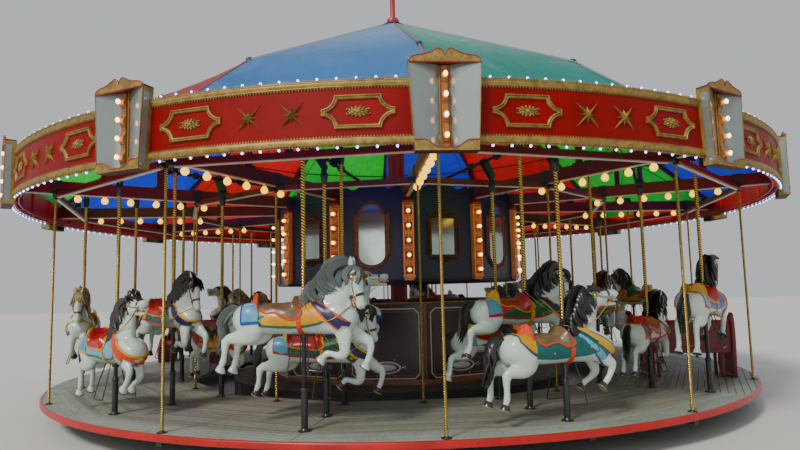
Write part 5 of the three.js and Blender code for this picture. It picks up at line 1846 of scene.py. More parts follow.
def star():
    """An eight-pointed faceted star: four long points on the diagonals, four short ones."""
    n = 16
    rows = []
    for i in range(n):
        a = 2 * math.pi * i / n
        r = 0.030 if i % 2 else (0.165 if (i // 2) % 2 else 0.078)
        rows.append((r * math.cos(a), r * math.sin(a), 0.004 if i % 2 == 0 else 0.012))
    back = [(x, y, -0.001) for x, y, _ in rows]
    v = rows + back + [(0, 0, 0.048), (0, 0, -0.001)]
    f = []
    for i in range(n):
        j = (i + 1) % n
        f += [(i, j, 2 * n), (n + j, n + i, 2 * n + 1), (i, n + i, n + j, j)]
    return Geo().add(v, f, 0, False)


def boards():
    g = Geo()
    RED, GOLD, INNER, DARK = range(4)
    R = BOARD_R
    g.add(*sweep([(R - 0.028, 2.920), (R, 2.920), (R, 3.490), (R - 0.028, 3.490)], n=180), RED)
    lower = [(R - 0.004, 2.916), (R + 0.012, 2.916), (R + 0.021, 2.924), (R + 0.024, 2.950), (R + 0.021, 2.977), (R + 0.012, 2.985), (R - 0.004, 2.985)]
    upper = [(R - 0.004, 3.428), (R + 0.012, 3.428), (R + 0.018, 3.434), (R + 0.015, 3.441), (R + 0.020, 3.449), (R + 0.023, 3.464), (R + 0.020, 3.476), (R + 0.025, 3.482),
             (R + 0.022, 3.492), (R - 0.018, 3.494), (R - 0.030, 3.490), (R - 0.004, 3.485)]
    g.add(*sweep(lower, n=180), GOLD)
    g.add(*sweep(upper, n=180), GOLD)
    g.add(*sweep([(R - 0.034, 2.918), (R - 0.002, 2.914), (R - 0.002, 2.922), (R - 0.034, 2.928)], n=180), DARK)
    # the inner skin and its battens
    g.add(*sweep([(R - 0.043, 2.932), (R - 0.0275, 2.932), (R - 0.0275, 3.480), (R - 0.043, 3.480)], n=120), INNER)
    for k in range(48):
        g.merge(Geo().add(*bar(-0.022, 0.022, -R + 0.042, -R + 0.072, 2.934, 3.476, 0.004), INNER, False), at(ROD0 + 3.75 + 7.5 * k))
    for z in (2.944, 3.440):
        g.add(*sweep([(R - 0.086, z), (R - 0.0715, z), (R - 0.0715, z + 0.034), (R - 0.086, z + 0.034)], n=96), INNER)
    # the bands' toothed edges
    n = 1320
    for z, s, r in ((2.9845, 1, R), (2.9165, -1, R + 0.010), (3.4285, -1, R), (3.4930, 1, R + 0.012)):
        a = np.radians(360.0 / n * np.arange(n) + (0.13 if s > 0 else 0))
        w = math.radians(360.0 / n * 0.31)
        base = []
        for da, dz, dr in ((-w, 0, -0.001), (w, 0, -0.001), (w, 0, 0.014), (-w, 0, 0.014), (0, 0.0200 * s, 0.004)):
            base.append(np.stack([(r + dr) * np.sin(a + da), -(r + dr) * np.cos(a + da), np.full(n, z + dz)], 1))
        v = np.stack(base, 1).reshape(-1, 3)
        f = []
        for i in range(n):
            q = 5 * i
            f += [(q, q + 1, q + 2, q + 3), (q, q + 4, q + 1), (q + 1, q + 4, q + 2), (q + 2, q + 4, q + 3), (q + 3, q + 4, q)]
        g.add(v, f, GOLD, False)
    c, st = cartouche(), star()
    for a in RODS:
        for da in (-7.3, 7.3):
            g.add(on_round(c.verts(), a + da, R - 0.0005, MID_Z + 0.003), c.f, GOLD)
        for da in (-1.95, 1.95):
            g.add(on_round(st.verts(), a + 15 + da, R - 0.0005, MID_Z), st.f, GOLD, False)
    piece("rounding_boards", g, [M_RED, M_GOLD, M_DARKRED, M_BROWN], "turntable", [f"rounding_board_{i}" for i in (1, 2, 3, 4)], angle=42, share=0.62)
    # small lamps below and above the boards
    lamps, caps = Geo(), Geo()
    lp = pear(0.0122, n=8, neck=1.5, rows=5)
    cap = turned_profile([(0.010, 0.0), (0.012, 0.004), (0.012, 0.013), (0.008, 0.016)], 8)
    b, h = Geo(), Geo()
    for i in range(14):
        t = math.radians(4.05 + 1.685 * i)
        for r, z, s in ((R + 0.004, 2.897, 1), (R + 0.002, 3.513, -1)):
            x, y = r * math.sin(t), -r * math.cos(t)
            b.add(lp[0] * np.array([1, 1, s]) + np.array([x, y, z]), lp[1], 0)
            h.add(cap[0] * np.array([1, 1, s]) + np.array([x, y, z + 0.012 * s]), cap[1], 0)
    for a in RODS:
        lamps.merge(b, at(a))
        caps.merge(h, at(a))
    piece("edge_lamps", lamps, [M_PEA], "turntable")
    piece("edge_lamp_holders", caps, [M_IRON], "turntable")


def shields():
    WING, GOLD, WOOD, RED, ROOF, AMBER, CUP = range(7)
    b = Geo()
    zt, zb = 3.606, 2.828
    top, low = 0.320, 0.274
    front, back = -SHIELD_R, -5.897

    def half_at(z):
        return low + (top - low) * (z - zb) / (zt - zb)

    # the two wings: curved mirror plates from the front edges back to the spine
    nz, nx = 9, 8
    for s in (-1, 1):
        rows = []
        for layer in (0, 1):
            for z in np.linspace(2.834, zt - 0.001, nz):
                for i in range(nx + 1):
                    u = i / nx
                    x = s * (half_at(z) - 0.007 + (0.038 - half_at(z) + 0.007) * u)
                    y = front + 0.004 + (back - front - 0.004) * u - 0.010 * math.sin(math.pi * u) + 0.006 * layer
                    rows.append((x, y, z))
        v = np.array(rows)
        n = nx + 1
        N = n * nz
        f = []
        for j in range(nz - 1):
            for i in range(nx):
                q = j * n + i
                f.append((q, q + 1, q + n + 1, q + n))
                f.append((N + q, N + q + n, N + q + n + 1, N + q + 1))
        ring_ = [i for i in range(n)] + [j * n + n - 1 for j in range(1, nz)] + [(nz - 1) * n + i for i in range(n - 2, -1, -1)] + [j * n for j in range(nz - 2, 0, -1)]
        for a, c in zip(ring_, ring_[1:] + ring_[:1]):
            f.append((a, N + a, N + c, c))
        b.add(v, f, WING)
        # side cheek back to the boards: a gilt frame round a mirror panel
        ck = [(s * low, front, zb), (s * top, front, zt), (s * top, -5.870, zt), (s * low, -5.870, zb)]
        v = [(x, y, z) for x, y, z in ck] + [(x - s * 0.008, y, z) for x, y, z in ck]
        b.add(v, [(0, 1, 2, 3), (7, 6, 5, 4), (0, 4, 5, 1), (1, 5, 6, 2), (2, 6, 7, 3), (3, 7, 4, 0)], GOLD, False)
        pc = [(s * (half_at(z) + 0.0012), y, z) for z, y in ((2.856, -5.986), (3.558, -5.986), (3.558, -5.922), (2.856, -5.922))]
        v = pc + [(x - s * 0.005, y, z) for x, y, z in pc]
        b.add(v, [(0, 1, 2, 3), (7, 6, 5, 4), (0, 4, 5, 1), (1, 5, 6, 2), (2, 6, 7, 3), (3, 7, 4, 0)], WING, False)
    # spine: a back board, a scalloped fin with gilt edges, and a socket for each lamp
    b.add(*bar(-0.044, 0.044, -5.912, -5.889, 2.836, zt - 0.005, 0.003), WOOD, False)
    for x in (-0.041, 0.041):
        b.add(*tube([(x, -5.914, 2.84), (x, -5.914, 3.2), (x, -5.914, zt - 0.007)], 0.0055, n=8, up=(1, 0, 0)), AMBER)
    lamps = [3.498, 3.320, 3.142, 2.964]
    edge = []
    for z in np.linspace(2.846, zt - 0.013, 76):
        near = min(abs(z - q) for q in lamps)
        edge.append((5.932 + 0.026 * (0.5 + 0.5 * math.cos(math.pi * min(1.0, near / 0.060))) ** 0.7, z))
    out = [(5.900, 2.846)] + edge + [(5.900, zt - 0.013)]
    v, f = panel(out, -0.024, 0.024, 0.002)
    b.add(np.stack([v[:, 2], -v[:, 0], v[:, 1]], 1), f, AMBER, False)
    for s in (-1, 1):
        rim = [(r + 0.004, z) for r, z in edge]
        band = rim + [(r - 0.014, z) for r, z in edge[::-1]]
        v, f = panel(band, 0.0, 0.004, 0.001)
        b.add(np.stack([s * (0.0235 + v[:, 2]), -v[:, 0], v[:, 1]], 1), f, GOLD, False)
    for z in lamps:
        # a socket for the lamp, whose orange glow is painted lamplight
        v, f = turned_profile([(0.0225, 0.0), (0.0245, 0.006), (0.024, 0.014), (0.016, 0.015), (0.014, 0.022), (0.010, 0.026)], 16)
        b.add(aimed(v, (0, -5.956, z), (0, -1, 0)), f, CUP)
        b.add(*bar(-0.023, 0.023, -5.951, -5.930, z - 0.047, z - 0.038, 0.002), WOOD, False)
    # crest: a flat shaped plate with a dark red edge, in the plane of the front
    pts = [(0.0, 3.643), (0.0065, 3.652), (0.0145, 3.672), (0.030, 3.692), (0.046, 3.6995), (0.062, 3.698), (0.082, 3.688), (0.104, 3.676), (0.145, 3.657), (0.191, 3.643),
           (0.237, 3.639), (0.277, 3.627), (0.297, 3.608), (0.304, 3.585)]
    pts = [(x * 1.032, z + 0.022) for x, z in pts]
    out = [(-0.3137, 3.601), (0.3137, 3.601)] + [p for p in pts[::-1]] + [(-x, z) for x, z in pts[1:]]
    out = np.array(out)[np.r_[True, np.linalg.norm(np.diff(np.array(out), axis=0), axis=1) > 1e-6]]
    v, f = panel(out, 0.0, 0.016, 0.002)
    b.add(on_wall(v, SHIELD_R - 0.014), f, GOLD, False)
    m = mould(out, [(-0.004, -0.002), (-0.004, 0.018), (0.000, 0.0205), (0.0055, 0.018), (0.0055, -0.002)])
    b.add(on_wall(m[0], SHIELD_R - 0.014), m[1], RED)
    # the little roof over the wings, from the crest back to the board
    v = [(-top, -5.988, zt - 0.0015), (top, -5.988, zt - 0.0015), (top, -5.872, zt - 0.0015), (-top, -5.872, zt - 0.0015), (-top, -5.988, zt + 0.018), (top, -5.988, zt + 0.018), (top, -5.872, zt + 0.013), (-top, -5.872, zt + 0.013)]
    b.add(v, [(3, 2, 1, 0), (4, 5, 6, 7), (0, 1, 5, 4), (1, 2, 6, 5), (2, 3, 7, 6), (3, 0, 4, 7)], ROOF, False)
    # foot: a flat gilt plate whose top sweeps down to the middle, under a red line
    line = []
    for x in np.linspace(-low - 0.0035, low + 0.0035, 33):
        u = abs(x) / low
        k = min(1.0, max(0.0, (u - 0.24) / 0.50))
        line.append((x, 2.856 + 0.068 * (k * k * (3 - 2 * k))))
    out = [(-low, 2.829), (low, 2.829)] + [(x, z) for x, z in line[::-1]]
    out = dense(out, 0.03)
    v, f = panel(out, 0.0, 0.012, 0.002)
    b.add(on_wall(v, SHIELD_R - 0.011), f, GOLD, False)
    red = np.array([(x, z, 0.012) for x, z in line])
    b.add(*tube(on_wall(red, SHIELD_R - 0.011), 0.0052, n=8, up=(0, 0, 1)), RED)
    v = [(-low, front + 0.003, zb), (low, front + 0.003, zb), (low, -5.875, zb), (-low, -5.875, zb), (-low, front + 0.003, zb + 0.008), (low, front + 0.003, zb + 0.008), (low, -5.875, zb + 0.008), (-low, -5.875, zb + 0.008)]
    b.add(v, [(3, 2, 1, 0), (4, 5, 6, 7), (0, 1, 5, 4), (1, 2, 6, 5), (2, 3, 7, 6), (3, 0, 4, 7)], ROOF, False)
    g = Geo()
    for a in RODS:
        g.merge(b, at(a))
    piece("beam_end_shields", g, [M_WING, M_GOLD, M_BROWN, M_SHRED, M_SHROOF, M_AMBER, M_CUP_PAINTED_GLOW], "turntable", angle=35, share=0.7)
    lp = pear(0.0195, n=14, neck=1.5, rows=8)
    t = Geo()
    for z in lamps:
        t.add(aimed(lp[0] * np.array([1, 1.30, -1.0]), (0, -6.004, z), (0, -1, 0)), lp[1], 0)
    lg = Geo()
    for a in RODS:
        lg.merge(t, at(a))
    piece("shield_lamps", lg, [M_BULB2], "turntable")


M_SHRED = paint("shield_edge_red", (0.27, 0.006, 0.006), rough=0.4, coat=0.1)
M_SHROOF = wood_paint("shield_roof", (0.055, 0.016, 0.009), rough=0.6, along="x", coat=0.0)
M_AMBER = wood_paint("shield_spine", (0.33, 0.115, 0.018), rough=0.40, along="z", coat=0.2)
boards()
shields()


# ------------------------------------------------------------------ roof
PEAK, KINK, EAVE = (0.12, 6.548), (4.1, 4.54), (5.842, 3.2365)
GORES = ("green", "red", "blue")    # from the first beam on, round and round
CANVAS = {
    "red": canvas("canvas_red", (0.46, 0.09, 0.11), (1.0, 0.008, 0.008), (0.62, 0.34, 0.34)),
    "blue": canvas("canvas_blue", (0.085, 0.33, 0.72), (0.012, 0.030, 1.0), (0.46, 0.70, 0.95)),
    "green": canvas("canvas_green", (0.055, 0.34, 0.40), (0.001, 0.90, 0.020), (0.42, 0.72, 0.72)),
}
M_SEAM = paint("seam_red", (0.40, 0.08, 0.09), rough=0.6, coat=0.0, dirt=0.6, scale=4)


def roof_point(theta, u, nu_kink=0.62):
    """u 0 at the peak, nu_kink at the kink, 1 at the eave, on the rafter at angle theta."""
    if u < nu_kink:
        t = u / nu_kink
        r, z = PEAK[0] + (KINK[0] - PEAK[0]) * t, PEAK[1] + (KINK[1] - PEAK[1]) * t
    else:
        t = (u - nu_kink) / (1 - nu_kink)
        r, z = KINK[0] + (EAVE[0] - KINK[0]) * t, KINK[1] + (EAVE[1] - KINK[1]) * t
    a = math.radians(theta)
    return np.array([r * math.sin(a), -r * math.cos(a), z])


def roofs():
    rng = np.random.default_rng(7)
    nu, nv = 64, 20
    kinkrow = 40
    us = np.concatenate([np.linspace(0, 0.62, kinkrow + 1), np.linspace(0.62, 1, nu - kinkrow + 1)[1:]])
    for q in range(4):
        verts, faces, mats = [], [], []
        cols = 3 * nv + 1
        wr = [(rng.uniform(0.3, 1.0), rng.uniform(0, 6.28), rng.uniform(14, 30)) for _ in range(9)]
        for i, u in enumerate(us):
            for c in range(cols):
                gore, w = divmod(c, nv)
                w = w / nv
                if gore == 3:
                    gore, w = 2, 1.0
                a0 = ROD0 + 90 * q + 30 * gore
                A, B = roof_point(a0, u), roof_point(a0 + 30, u)
                p = A + (B - A) * w
                width = np.linalg.norm(B - A)
                s = 4 * w * (1 - w)
                # the span between two rafters hangs a little, more where it is wide; the kink is held by no purlin
                span = math.sin(math.pi * min(1, u / 0.62)) if u < 0.62 else math.sin(math.pi * (u - 0.62) / 0.38)
                sag = 0.010 * width * s + 0.030 * s * span * width / 2.0
                # pulled folds that run from the kink over the rafters
                d = min(w, 1 - w) * width
                k0, ph, fr = wr[(gore * 2 + (1 if w > 0.5 else 0)) % 9]
                ang = math.atan2((u - 0.62) * 5.2, d + 0.02)
                fold = 0.016 * k0 * math.sin(fr * 0.45 * ang + ph) * math.exp(-((d - 0.30) / 0.30) ** 2) * math.exp(-((u - 0.62) / 0.13) ** 2) * min(1, d / 0.08)
                soft = 0.006 * math.sin(u * 31 + ph) * s + 0.005 * math.sin(w * 19 + u * 9 + ph) * s
                p = p.copy()
                p[2] += -sag + fold + soft * (1 if u < 0.97 else 0) - 0.006
                verts.append(p)
        for i in range(len(us) - 1):
            for c in range(cols - 1):
                a = i * cols + c
                faces.append((a, a + 1, a + cols + 1, a + cols))
                mats.append(c // nv)
        names = [GORES[gore % 3] for gore in range(3)]
        g = Geo().add(np.array(verts), faces, mats)
        ob = g.object(f"roof_sheet_{q + 1}", [CANVAS[n] for n in names])
        # all faces up
        me = ob.data
        if sum(p.normal.z for p in me.polygons) < 0:
            me.flip_normals()
        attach(ob, "turntable")
        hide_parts(f"roof_canvas_{q + 1}")
    # seams along the rafters, dark caps at the kinks, a collar at the peak
    g = Geo()
    for a in RODS:
        pts = [roof_point(a, u) + np.array([0, 0, 0.005]) for u in list(np.linspace(0.0, 0.62, 14)) + list(np.linspace(0.62, 1.0, 8))[1:]]
        t = np.gradient(np.array(pts), axis=0)
        loops = []
        ca, sa = math.cos(math.radians(a)), math.sin(math.radians(a))
        side = np.array([ca, sa, 0])
        ang = np.linspace(0, 2 * np.pi, 8, endpoint=False)
        for p, tt in zip(pts, t):
            tt = tt / np.linalg.norm(tt)
            nn = np.cross(side, tt)
            loops.append(p + np.outer(np.cos(ang) * 0.010, side) + np.outer(np.sin(ang) * 0.004, nn))
        g.add(*loft(loops), 0)
        k = roof_point(a, 0.62)
        v, f = turned_profile([(0.042, 0.0), (0.040, 0.010), (0.031, 0.019), (0.015, 0.025), (0.005, 0.027)], 18)
        out = np.array([math.sin(math.radians(a)), -math.cos(math.radians(a)), 0])
        nrm = out * 0.50 + np.array([0, 0, 0.87])
        g.add(aimed(v, k + nrm * 0.0, nrm), f, 1)
    g.add(*sweep([(0.098, 6.535), (0.165, 6.530), (0.205, 6.512), (0.208, 6.524), (0.165, 6.552), (0.130, 6.575), (0.098, 6.590)], n=48), 1)
    piece("roof_seams_and_caps", g, [M_SEAM, M_IRON], "turntable")


def roof_frame():
    g = Geo()

    def one(b):
        def under(r):
            z = PEAK[1] + (r - PEAK[0]) * (KINK[1] - PEAK[1]) / (KINK[0] - PEAK[0]) if r < KINK[0] else KINK[1] + (r - KINK[0]) * (EAVE[1] - KINK[1]) / (EAVE[0] - KINK[0])
            return z - 0.020
        outl = [(0.18, under(0.18)), (0.18, under(0.18) - 0.135), (4.065, under(4.065) - 0.085), (4.065, 3.192), (4.135, 3.192), (4.135, under(4.135) - 0.085),
                (5.740, under(5.740) - 0.078), (5.740, 3.192), (5.800, 3.192), (5.800, under(5.800)), (4.1, under(4.1))]
        v, f = panel(outl[::-1], -0.024, 0.024, 0.004)
        b.add(np.stack([v[:, 2], -v[:, 0], v[:, 1]], 1), f, 0, False)
        # plates and bolts at the struts
        for r0, r1, z0, z1 in ((4.03, 4.17, 3.191, 3.212), (5.715, 5.820, 3.191, 3.212)):
            b.add(*bar(-0.043, 0.043, -r1, -r0, z0, z1, 0.003), 1, False)
        for s in (-1, 1):
            b.add(*bar(s * 0.029 - 0.004, s * 0.029 + 0.004, -4.19, -4.01, 4.360, 4.480, 0.002), 1, False)
            for r, z in ((4.04, 4.395), (4.16, 4.395), (4.07, 4.45), (4.13, 4.45)):
                v, f = turned_profile([(0.011, 0.0), (0.011, 0.007), (0.006, 0.010)], 6)
                b.add(aimed(v, (s * 0.033, -r, z), (s, 0, 0)), f, 1, False)
    repeated(g, one, RODS)
    g.add(*sweep([(0.100, 6.184), (0.322, 6.184), (0.330, 6.194), (0.330, 6.408), (0.322, 6.420), (0.100, 6.524)], n=48), 1)
    # purlin rods and stay wires between the struts
    for k in range(12):
        A = np.array(roof_point(RODS[k], 0.62)) - np.array([0, 0, 0.09])
        B = np.array(roof_point(RODS[k] + 30, 0.62)) - np.array([0, 0, 0.09])
        g.add(*tube([A, (A + B) / 2 - np.array([0, 0, 0.012]), B], 0.011, n=8), 1)
        p = lambda a, r, z: np.array([r * math.sin(math.radians(a)), -r * math.cos(math.radians(a)), z])
        a, b = RODS[k], RODS[k] + 30
        for s, e in ((p(a, 4.1, 4.32), p(b, 4.1, 3.24)), (p(b, 4.1, 4.32), p(a, 4.1, 3.24))):
            g.add(*tube([s, (s + e) / 2, e], 0.0045, n=6), 1)
        s, e = p(a, 0.30, 6.20), p(a, 5.70, 3.215)
        g.add(*tube([s, (s + e) / 2, e], 0.006, n=6), 1)
    piece("rafters", g, [M_MAROON, M_IRON], "turntable", ["roof_frame"])


roofs()
roof_frame()


# ------------------------------------------------------------------ chariots
def chariots():
    b = Geo()
    BOARD, EDGE, SEAT, GOLD = range(4)
    side = [(-1.300, 0.0), (-0.640, 0.0), (-0.600, 0.180), (-0.640, 0.380), (-0.760, 0.500), (-1.000, 0.580), (-1.180, 0.860), (-1.290, 0.900), (-1.345, 0.700), (-1.335, 0.300)]
    z = DECK_TOP + 0.001
    fine = smooth_path(np.array([(x, h) for x, h in side[1:]] + [side[0]]), 46)
    fine = np.vstack([fine])
    out = [(x, h + z) for x, h in fine]
    for y0 in (-5.045, -3.925):
        v, f = panel(out, 0.0, 0.035, 0.004)
        # laid out in x and z, thickness along y
        b.add(np.stack([v[:, 0], y0 + 0.035 - v[:, 2], v[:, 1]], 1), f, BOARD, False)
        for face, s in ((y0, -1), (y0 + 0.035, 1)):
            m = mould(np.array(out), [(0.010, 0), (0.010, 0.006), (0.016, 0.010), (0.030, 0.010), (0.036, 0.006), (0.036, 0)])
            b.add(np.stack([m[0][:, 0], face + s * m[0][:, 2], m[0][:, 1]], 1), m[1], EDGE)
            # a painted scroll
            t = np.linspace(0, 3.4 * np.pi, 40)
            r = 0.150 * (1 - t / (4.3 * np.pi))
            q = np.stack([-0.985 + r * np.cos(t), np.full(40, face + s * 0.002), z + 0.300 + r * np.sin(t)], 1)
            b.add(*tube(q, np.stack([np.linspace(0.014, 0.004, 40), np.full(40, 0.006)], 1), n=8, up=(0, 1, 0)), GOLD)
            for cx, cz, rr in ((-1.215, z + 0.62, 0.055), (-0.77, z + 0.17, 0.05)):
                t = np.linspace(0, 2.6 * np.pi, 26)
                r = rr * (1 - t / (3.3 * np.pi))
                q = np.stack([cx + r * np.cos(t), np.full(26, face + s * 0.002), cz + r * np.sin(t)], 1)
                b.add(*tube(q, np.stack([np.linspace(0.009, 0.003, 26), np.full(26, 0.005)], 1), n=6, up=(0, 1, 0)), GOLD)
    for i in range(5):
        x0 = -1.245 + i * 0.0935
        b.add(*bar(x0, x0 + 0.0885, -5.008, -3.927, z + 0.386, z + 0.424, 0.006), SEAT, False)
    b.add(*bar(-0.79, -0.765, -5.008, -3.927, z + 0.345, z + 0.424, 0.006), EDGE, False)
    b.add(*bar(-1.286, -1.254, -5.008, -3.927, z + 0.345, z + 0.790, 0.006), BOARD, False)
    for y in np.linspace(-4.94, -3.995, 6):
        b.add(*bar(-1.252, -1.243, y - 0.075, y + 0.075, z + 0.47, z + 0.745, 0.004), SEAT, False)
        b.add(*bar(-1.296, -1.288, y - 0.075, y + 0.075, z + 0.40, z + 0.745, 0.004), BOARD, False)
    v, f = tube([(-1.27, -5.008, z + 0.795), (-1.27, -4.468, z + 0.807), (-1.27, -3.927, z + 0.795)], np.array([[0.020, 0.014]] * 3), n=10, up=(0, 0, 1))
    b.add(v, f, EDGE)
    for y in (-4.90, -4.03):
        b.add(*bar(-1.23, -1.19, y - 0.02, y + 0.02, z, z + 0.386, 0.004), BOARD, False)
        b.add(*bar(-0.86, -0.82, y - 0.02, y + 0.02, z, z + 0.386, 0.004), BOARD, False)
    mats = [wood_paint("chariot_maroon", (0.17, 0.005, 0.010), rough=0.38, along="z", coat=0.15), paint("chariot_edge", (0.42, 0.010, 0.008), rough=0.34, coat=0.2),
            wood_paint("chariot_seat", (0.24, 0.012, 0.012), rough=0.38, along="y", coat=0.15), M_GOLD2]
    for i, a in enumerate((79.2, 259.2)):
        g = Geo().merge(b, at(a))
        piece(f"chariot_bench_{i + 1}", g, mats, "turntable", [f"chariot_{i + 1}"])


chariots()


# ------------------------------------------------------------------ the thirty horses
H_MANE = {n: hair("hair_" + n, c) for n, c in (("grey", (0.085, 0.110, 0.103)), ("black", (0.0075, 0.009, 0.0085)), ("dark", (0.020, 0.022, 0.020)), ("brown", (0.070, 0.030, 0.012)),
                                               ("cream", (0.40, 0.30, 0.14)))}
H_COAT = coat_paint("horse_white")
H_HOOF = paint("hoof_black", (0.022, 0.020, 0.020), rough=0.3, coat=0.5, dirt=0.4, dust=(0.2, 0.17, 0.13), scale=9)
H_HOOF2 = paint("hoof_white", (0.52, 0.58, 0.52), rough=0.3, coat=0.5, dirt=0.8, dust=(0.10, 0.10, 0.09), scale=12)
H_SHOE2 = paint("horse_shoe_dark", (0.030, 0.028, 0.028), rough=0.4, coat=0.2, dirt=0.5, dust=(0.2, 0.17, 0.13), scale=9)
H_SHOE = gilt("horse_shoe_gilt", (0.46, 0.36, 0.18))
H_SADDLE = {n: leather("saddle_" + n, c) for n, c in (("brown", (0.160, 0.092, 0.045)), ("red", (0.38, 0.008, 0.006)), ("tan", (0.33, 0.13, 0.035)), ("black", (0.022, 0.018, 0.018)),
                                                      ("green", (0.010, 0.085, 0.035)))}
H_ENAMEL = {n: cloth_paint("trim_" + n, c) for n, c in (("orange", (0.60, 0.045, 0.004)), ("red", (0.45, 0.006, 0.006)), ("gold", (0.60, 0.32, 0.010)), ("blue", (0.015, 0.060, 0.30)),
                                                         ("green", (0.006, 0.115, 0.045)), ("teal", (0.006, 0.105, 0.110)), ("white", (0.62, 0.66, 0.62)), ("navy", (0.012, 0.016, 0.075)),
                                                         ("pink", (0.60, 0.16, 0.20)))}
H_CLOTH = {n: cloth_paint("blanket_" + n, c, m, s) for n, c, m, s in (
    ("yellow", (0.60, 0.285, 0.001), None, 0), ("sky", (0.13, 0.36, 0.50), (0.55, 0.34, 0.03), 11.0), ("teal", (0.006, 0.095, 0.095), (0.45, 0.36, 0.05), 10.0),
    ("red", (0.42, 0.007, 0.007), (0.58, 0.32, 0.02), 9.0), ("green", (0.008, 0.105, 0.040), (0.50, 0.36, 0.05), 9.5), ("blue", (0.018, 0.060, 0.32), (0.50, 0.52, 0.50), 10.0),
    ("plain_sky", (0.085, 0.31, 0.48), None, 0), ("purple", (0.09, 0.018, 0.17), (0.55, 0.34, 0.03), 9.0), ("white", (0.60, 0.62, 0.57), (0.10, 0.16, 0.45), 9.0))}
H_STRAP = {n: leather("strap_" + n, c) for n, c in (("black", (0.015, 0.014, 0.014)), ("brown", (0.12, 0.045, 0.018)), ("red", (0.42, 0.016, 0.014)), ("green", (0.018, 0.16, 0.07)))}
H_GOLD = metal("harness_gold", (0.80, 0.52, 0.12), rough=0.26, worn=0.35, tarnish=(0.32, 0.18, 0.04))
H_EYE = paint("eye_dark", (0.012, 0.010, 0.010), rough=0.08, coat=1.0, dirt=0.0, worn=0.2)
H_PINK = paint("mouth_red", (0.42, 0.075, 0.065), rough=0.3, coat=0.4, dirt=0.2)
H_JEWEL = {n: paint("jewel_" + n, c, rough=0.07, coat=1.0, dirt=0.0, worn=0.4, scale=20) for n, c in (("red", (0.55, 0.010, 0.012)), ("blue", (0.015, 0.09, 0.55)), ("green", (0.012, 0.34, 0.10)))}


H_POLE = twist_metal("twisted_pole", (0.80, 0.54, 0.12), (0.30, 0.18, 0.04), 0.030)


def livery(mane, saddle, edge, cloth, hem, panel_, trim, collar, collar2, strap, jewel="red", pale=False):
    return [H_COAT, H_MANE[mane], H_HOOF2 if pale else H_HOOF, H_SHOE2 if pale else H_SHOE, H_SADDLE[saddle], H_ENAMEL[edge], H_CLOTH[cloth], H_ENAMEL[hem], H_CLOTH[panel_], H_ENAMEL[trim],
            H_ENAMEL[collar] if collar in H_ENAMEL else H_CLOTH[collar], H_CLOTH[collar2], H_STRAP[strap], H_GOLD, H_EYE, H_PINK, H_JEWEL[jewel], H_POLE, M_BLACK]


# mane, saddle, saddle edge, blanket, its border, rear panel, its border, breast collar, second collar, bridle
LIVERIES = {
    "A": livery("grey", "brown", "orange", "yellow", "green", "plain_sky", "blue", "navy", "sky", "black", pale=True),
    "B": livery("black", "brown", "orange", "teal", "teal", "yellow", "teal", "gold", "sky", "green"),
    "C": livery("black", "red", "gold", "sky", "teal", "plain_sky", "gold", "orange", "plain_sky", "black", pale=True),
    "D": livery("dark", "red", "gold", "blue", "white", "sky", "red", "red", "blue", "red", pale=True),
    "E": livery("brown", "tan", "green", "red", "gold", "green", "gold", "green", "red", "brown"),
    "F": livery("black", "red", "gold", "green", "red", "plain_sky", "red", "navy", "green", "black", "blue"),
    "G": livery("grey", "black", "gold", "purple", "gold", "yellow", "red", "gold", "purple", "red", pale=True),
    "H": livery("cream", "brown", "gold", "blue", "orange", "white", "blue", "blue", "white", "brown", "green"),
    "I": livery("dark", "green", "gold", "yellow", "red", "red", "gold", "red", "yellow", "green"),
    "K": livery("black", "red", "gold", "teal", "red", "yellow", "red", "navy", "sky", "brown"),
    "J": livery("black", "tan", "red", "white", "red", "teal", "orange", "teal", "teal", "black", "blue"),
}
PHASE = {11: 1, 10: -1, 0: -1, 1: 1, 3: 1, 4: 0, 5: -1, 6: 1, 7: 0, 9: 0}
SCALE = {"outer": 1.0, "middle": 0.93, "inner": 0.84}
# row: (figure, livery) outer, middle, inner
TEAM = {
    11: (("t0", "A"), ("t2", "F"), ("s1", "H")),
    0: (("s1", "B"), ("t0", "F"), ("t2", "D")),
    10: (("s2", "C"), ("t2", "K"), ("s1", "I")),
    1: (("s2", "D"), ("t0", "J"), ("t2", "E")),
    9: (("t0", "H"), ("t2", "E"), ("s1", "B")),
    3: (("t0", "I"), ("s1", "C"), ("t2", "A")),
    4: (("s1", "E"), ("t2", "A"), ("s1", "G")),
    5: (("s2", "F"), ("t0", "D"), ("t2", "H")),
    6: (("t0", "G"), ("s1", "B"), ("s1", "J")),
    7: (("s1", "J"), ("t2", "H"), ("t2", "C")),
}
FIG = {"t0": ("tucked", 0), "t2": ("tucked", 2), "s1": ("stretched", 1), "s2": ("stretched", 2)}
DETAIL = {"outer": (1.0, 8600), "middle": (0.8, 6200), "inner": (0.55, 4600)}
SHARE = {"outer": 0.70, "middle": 0.50, "inner": 0.37}


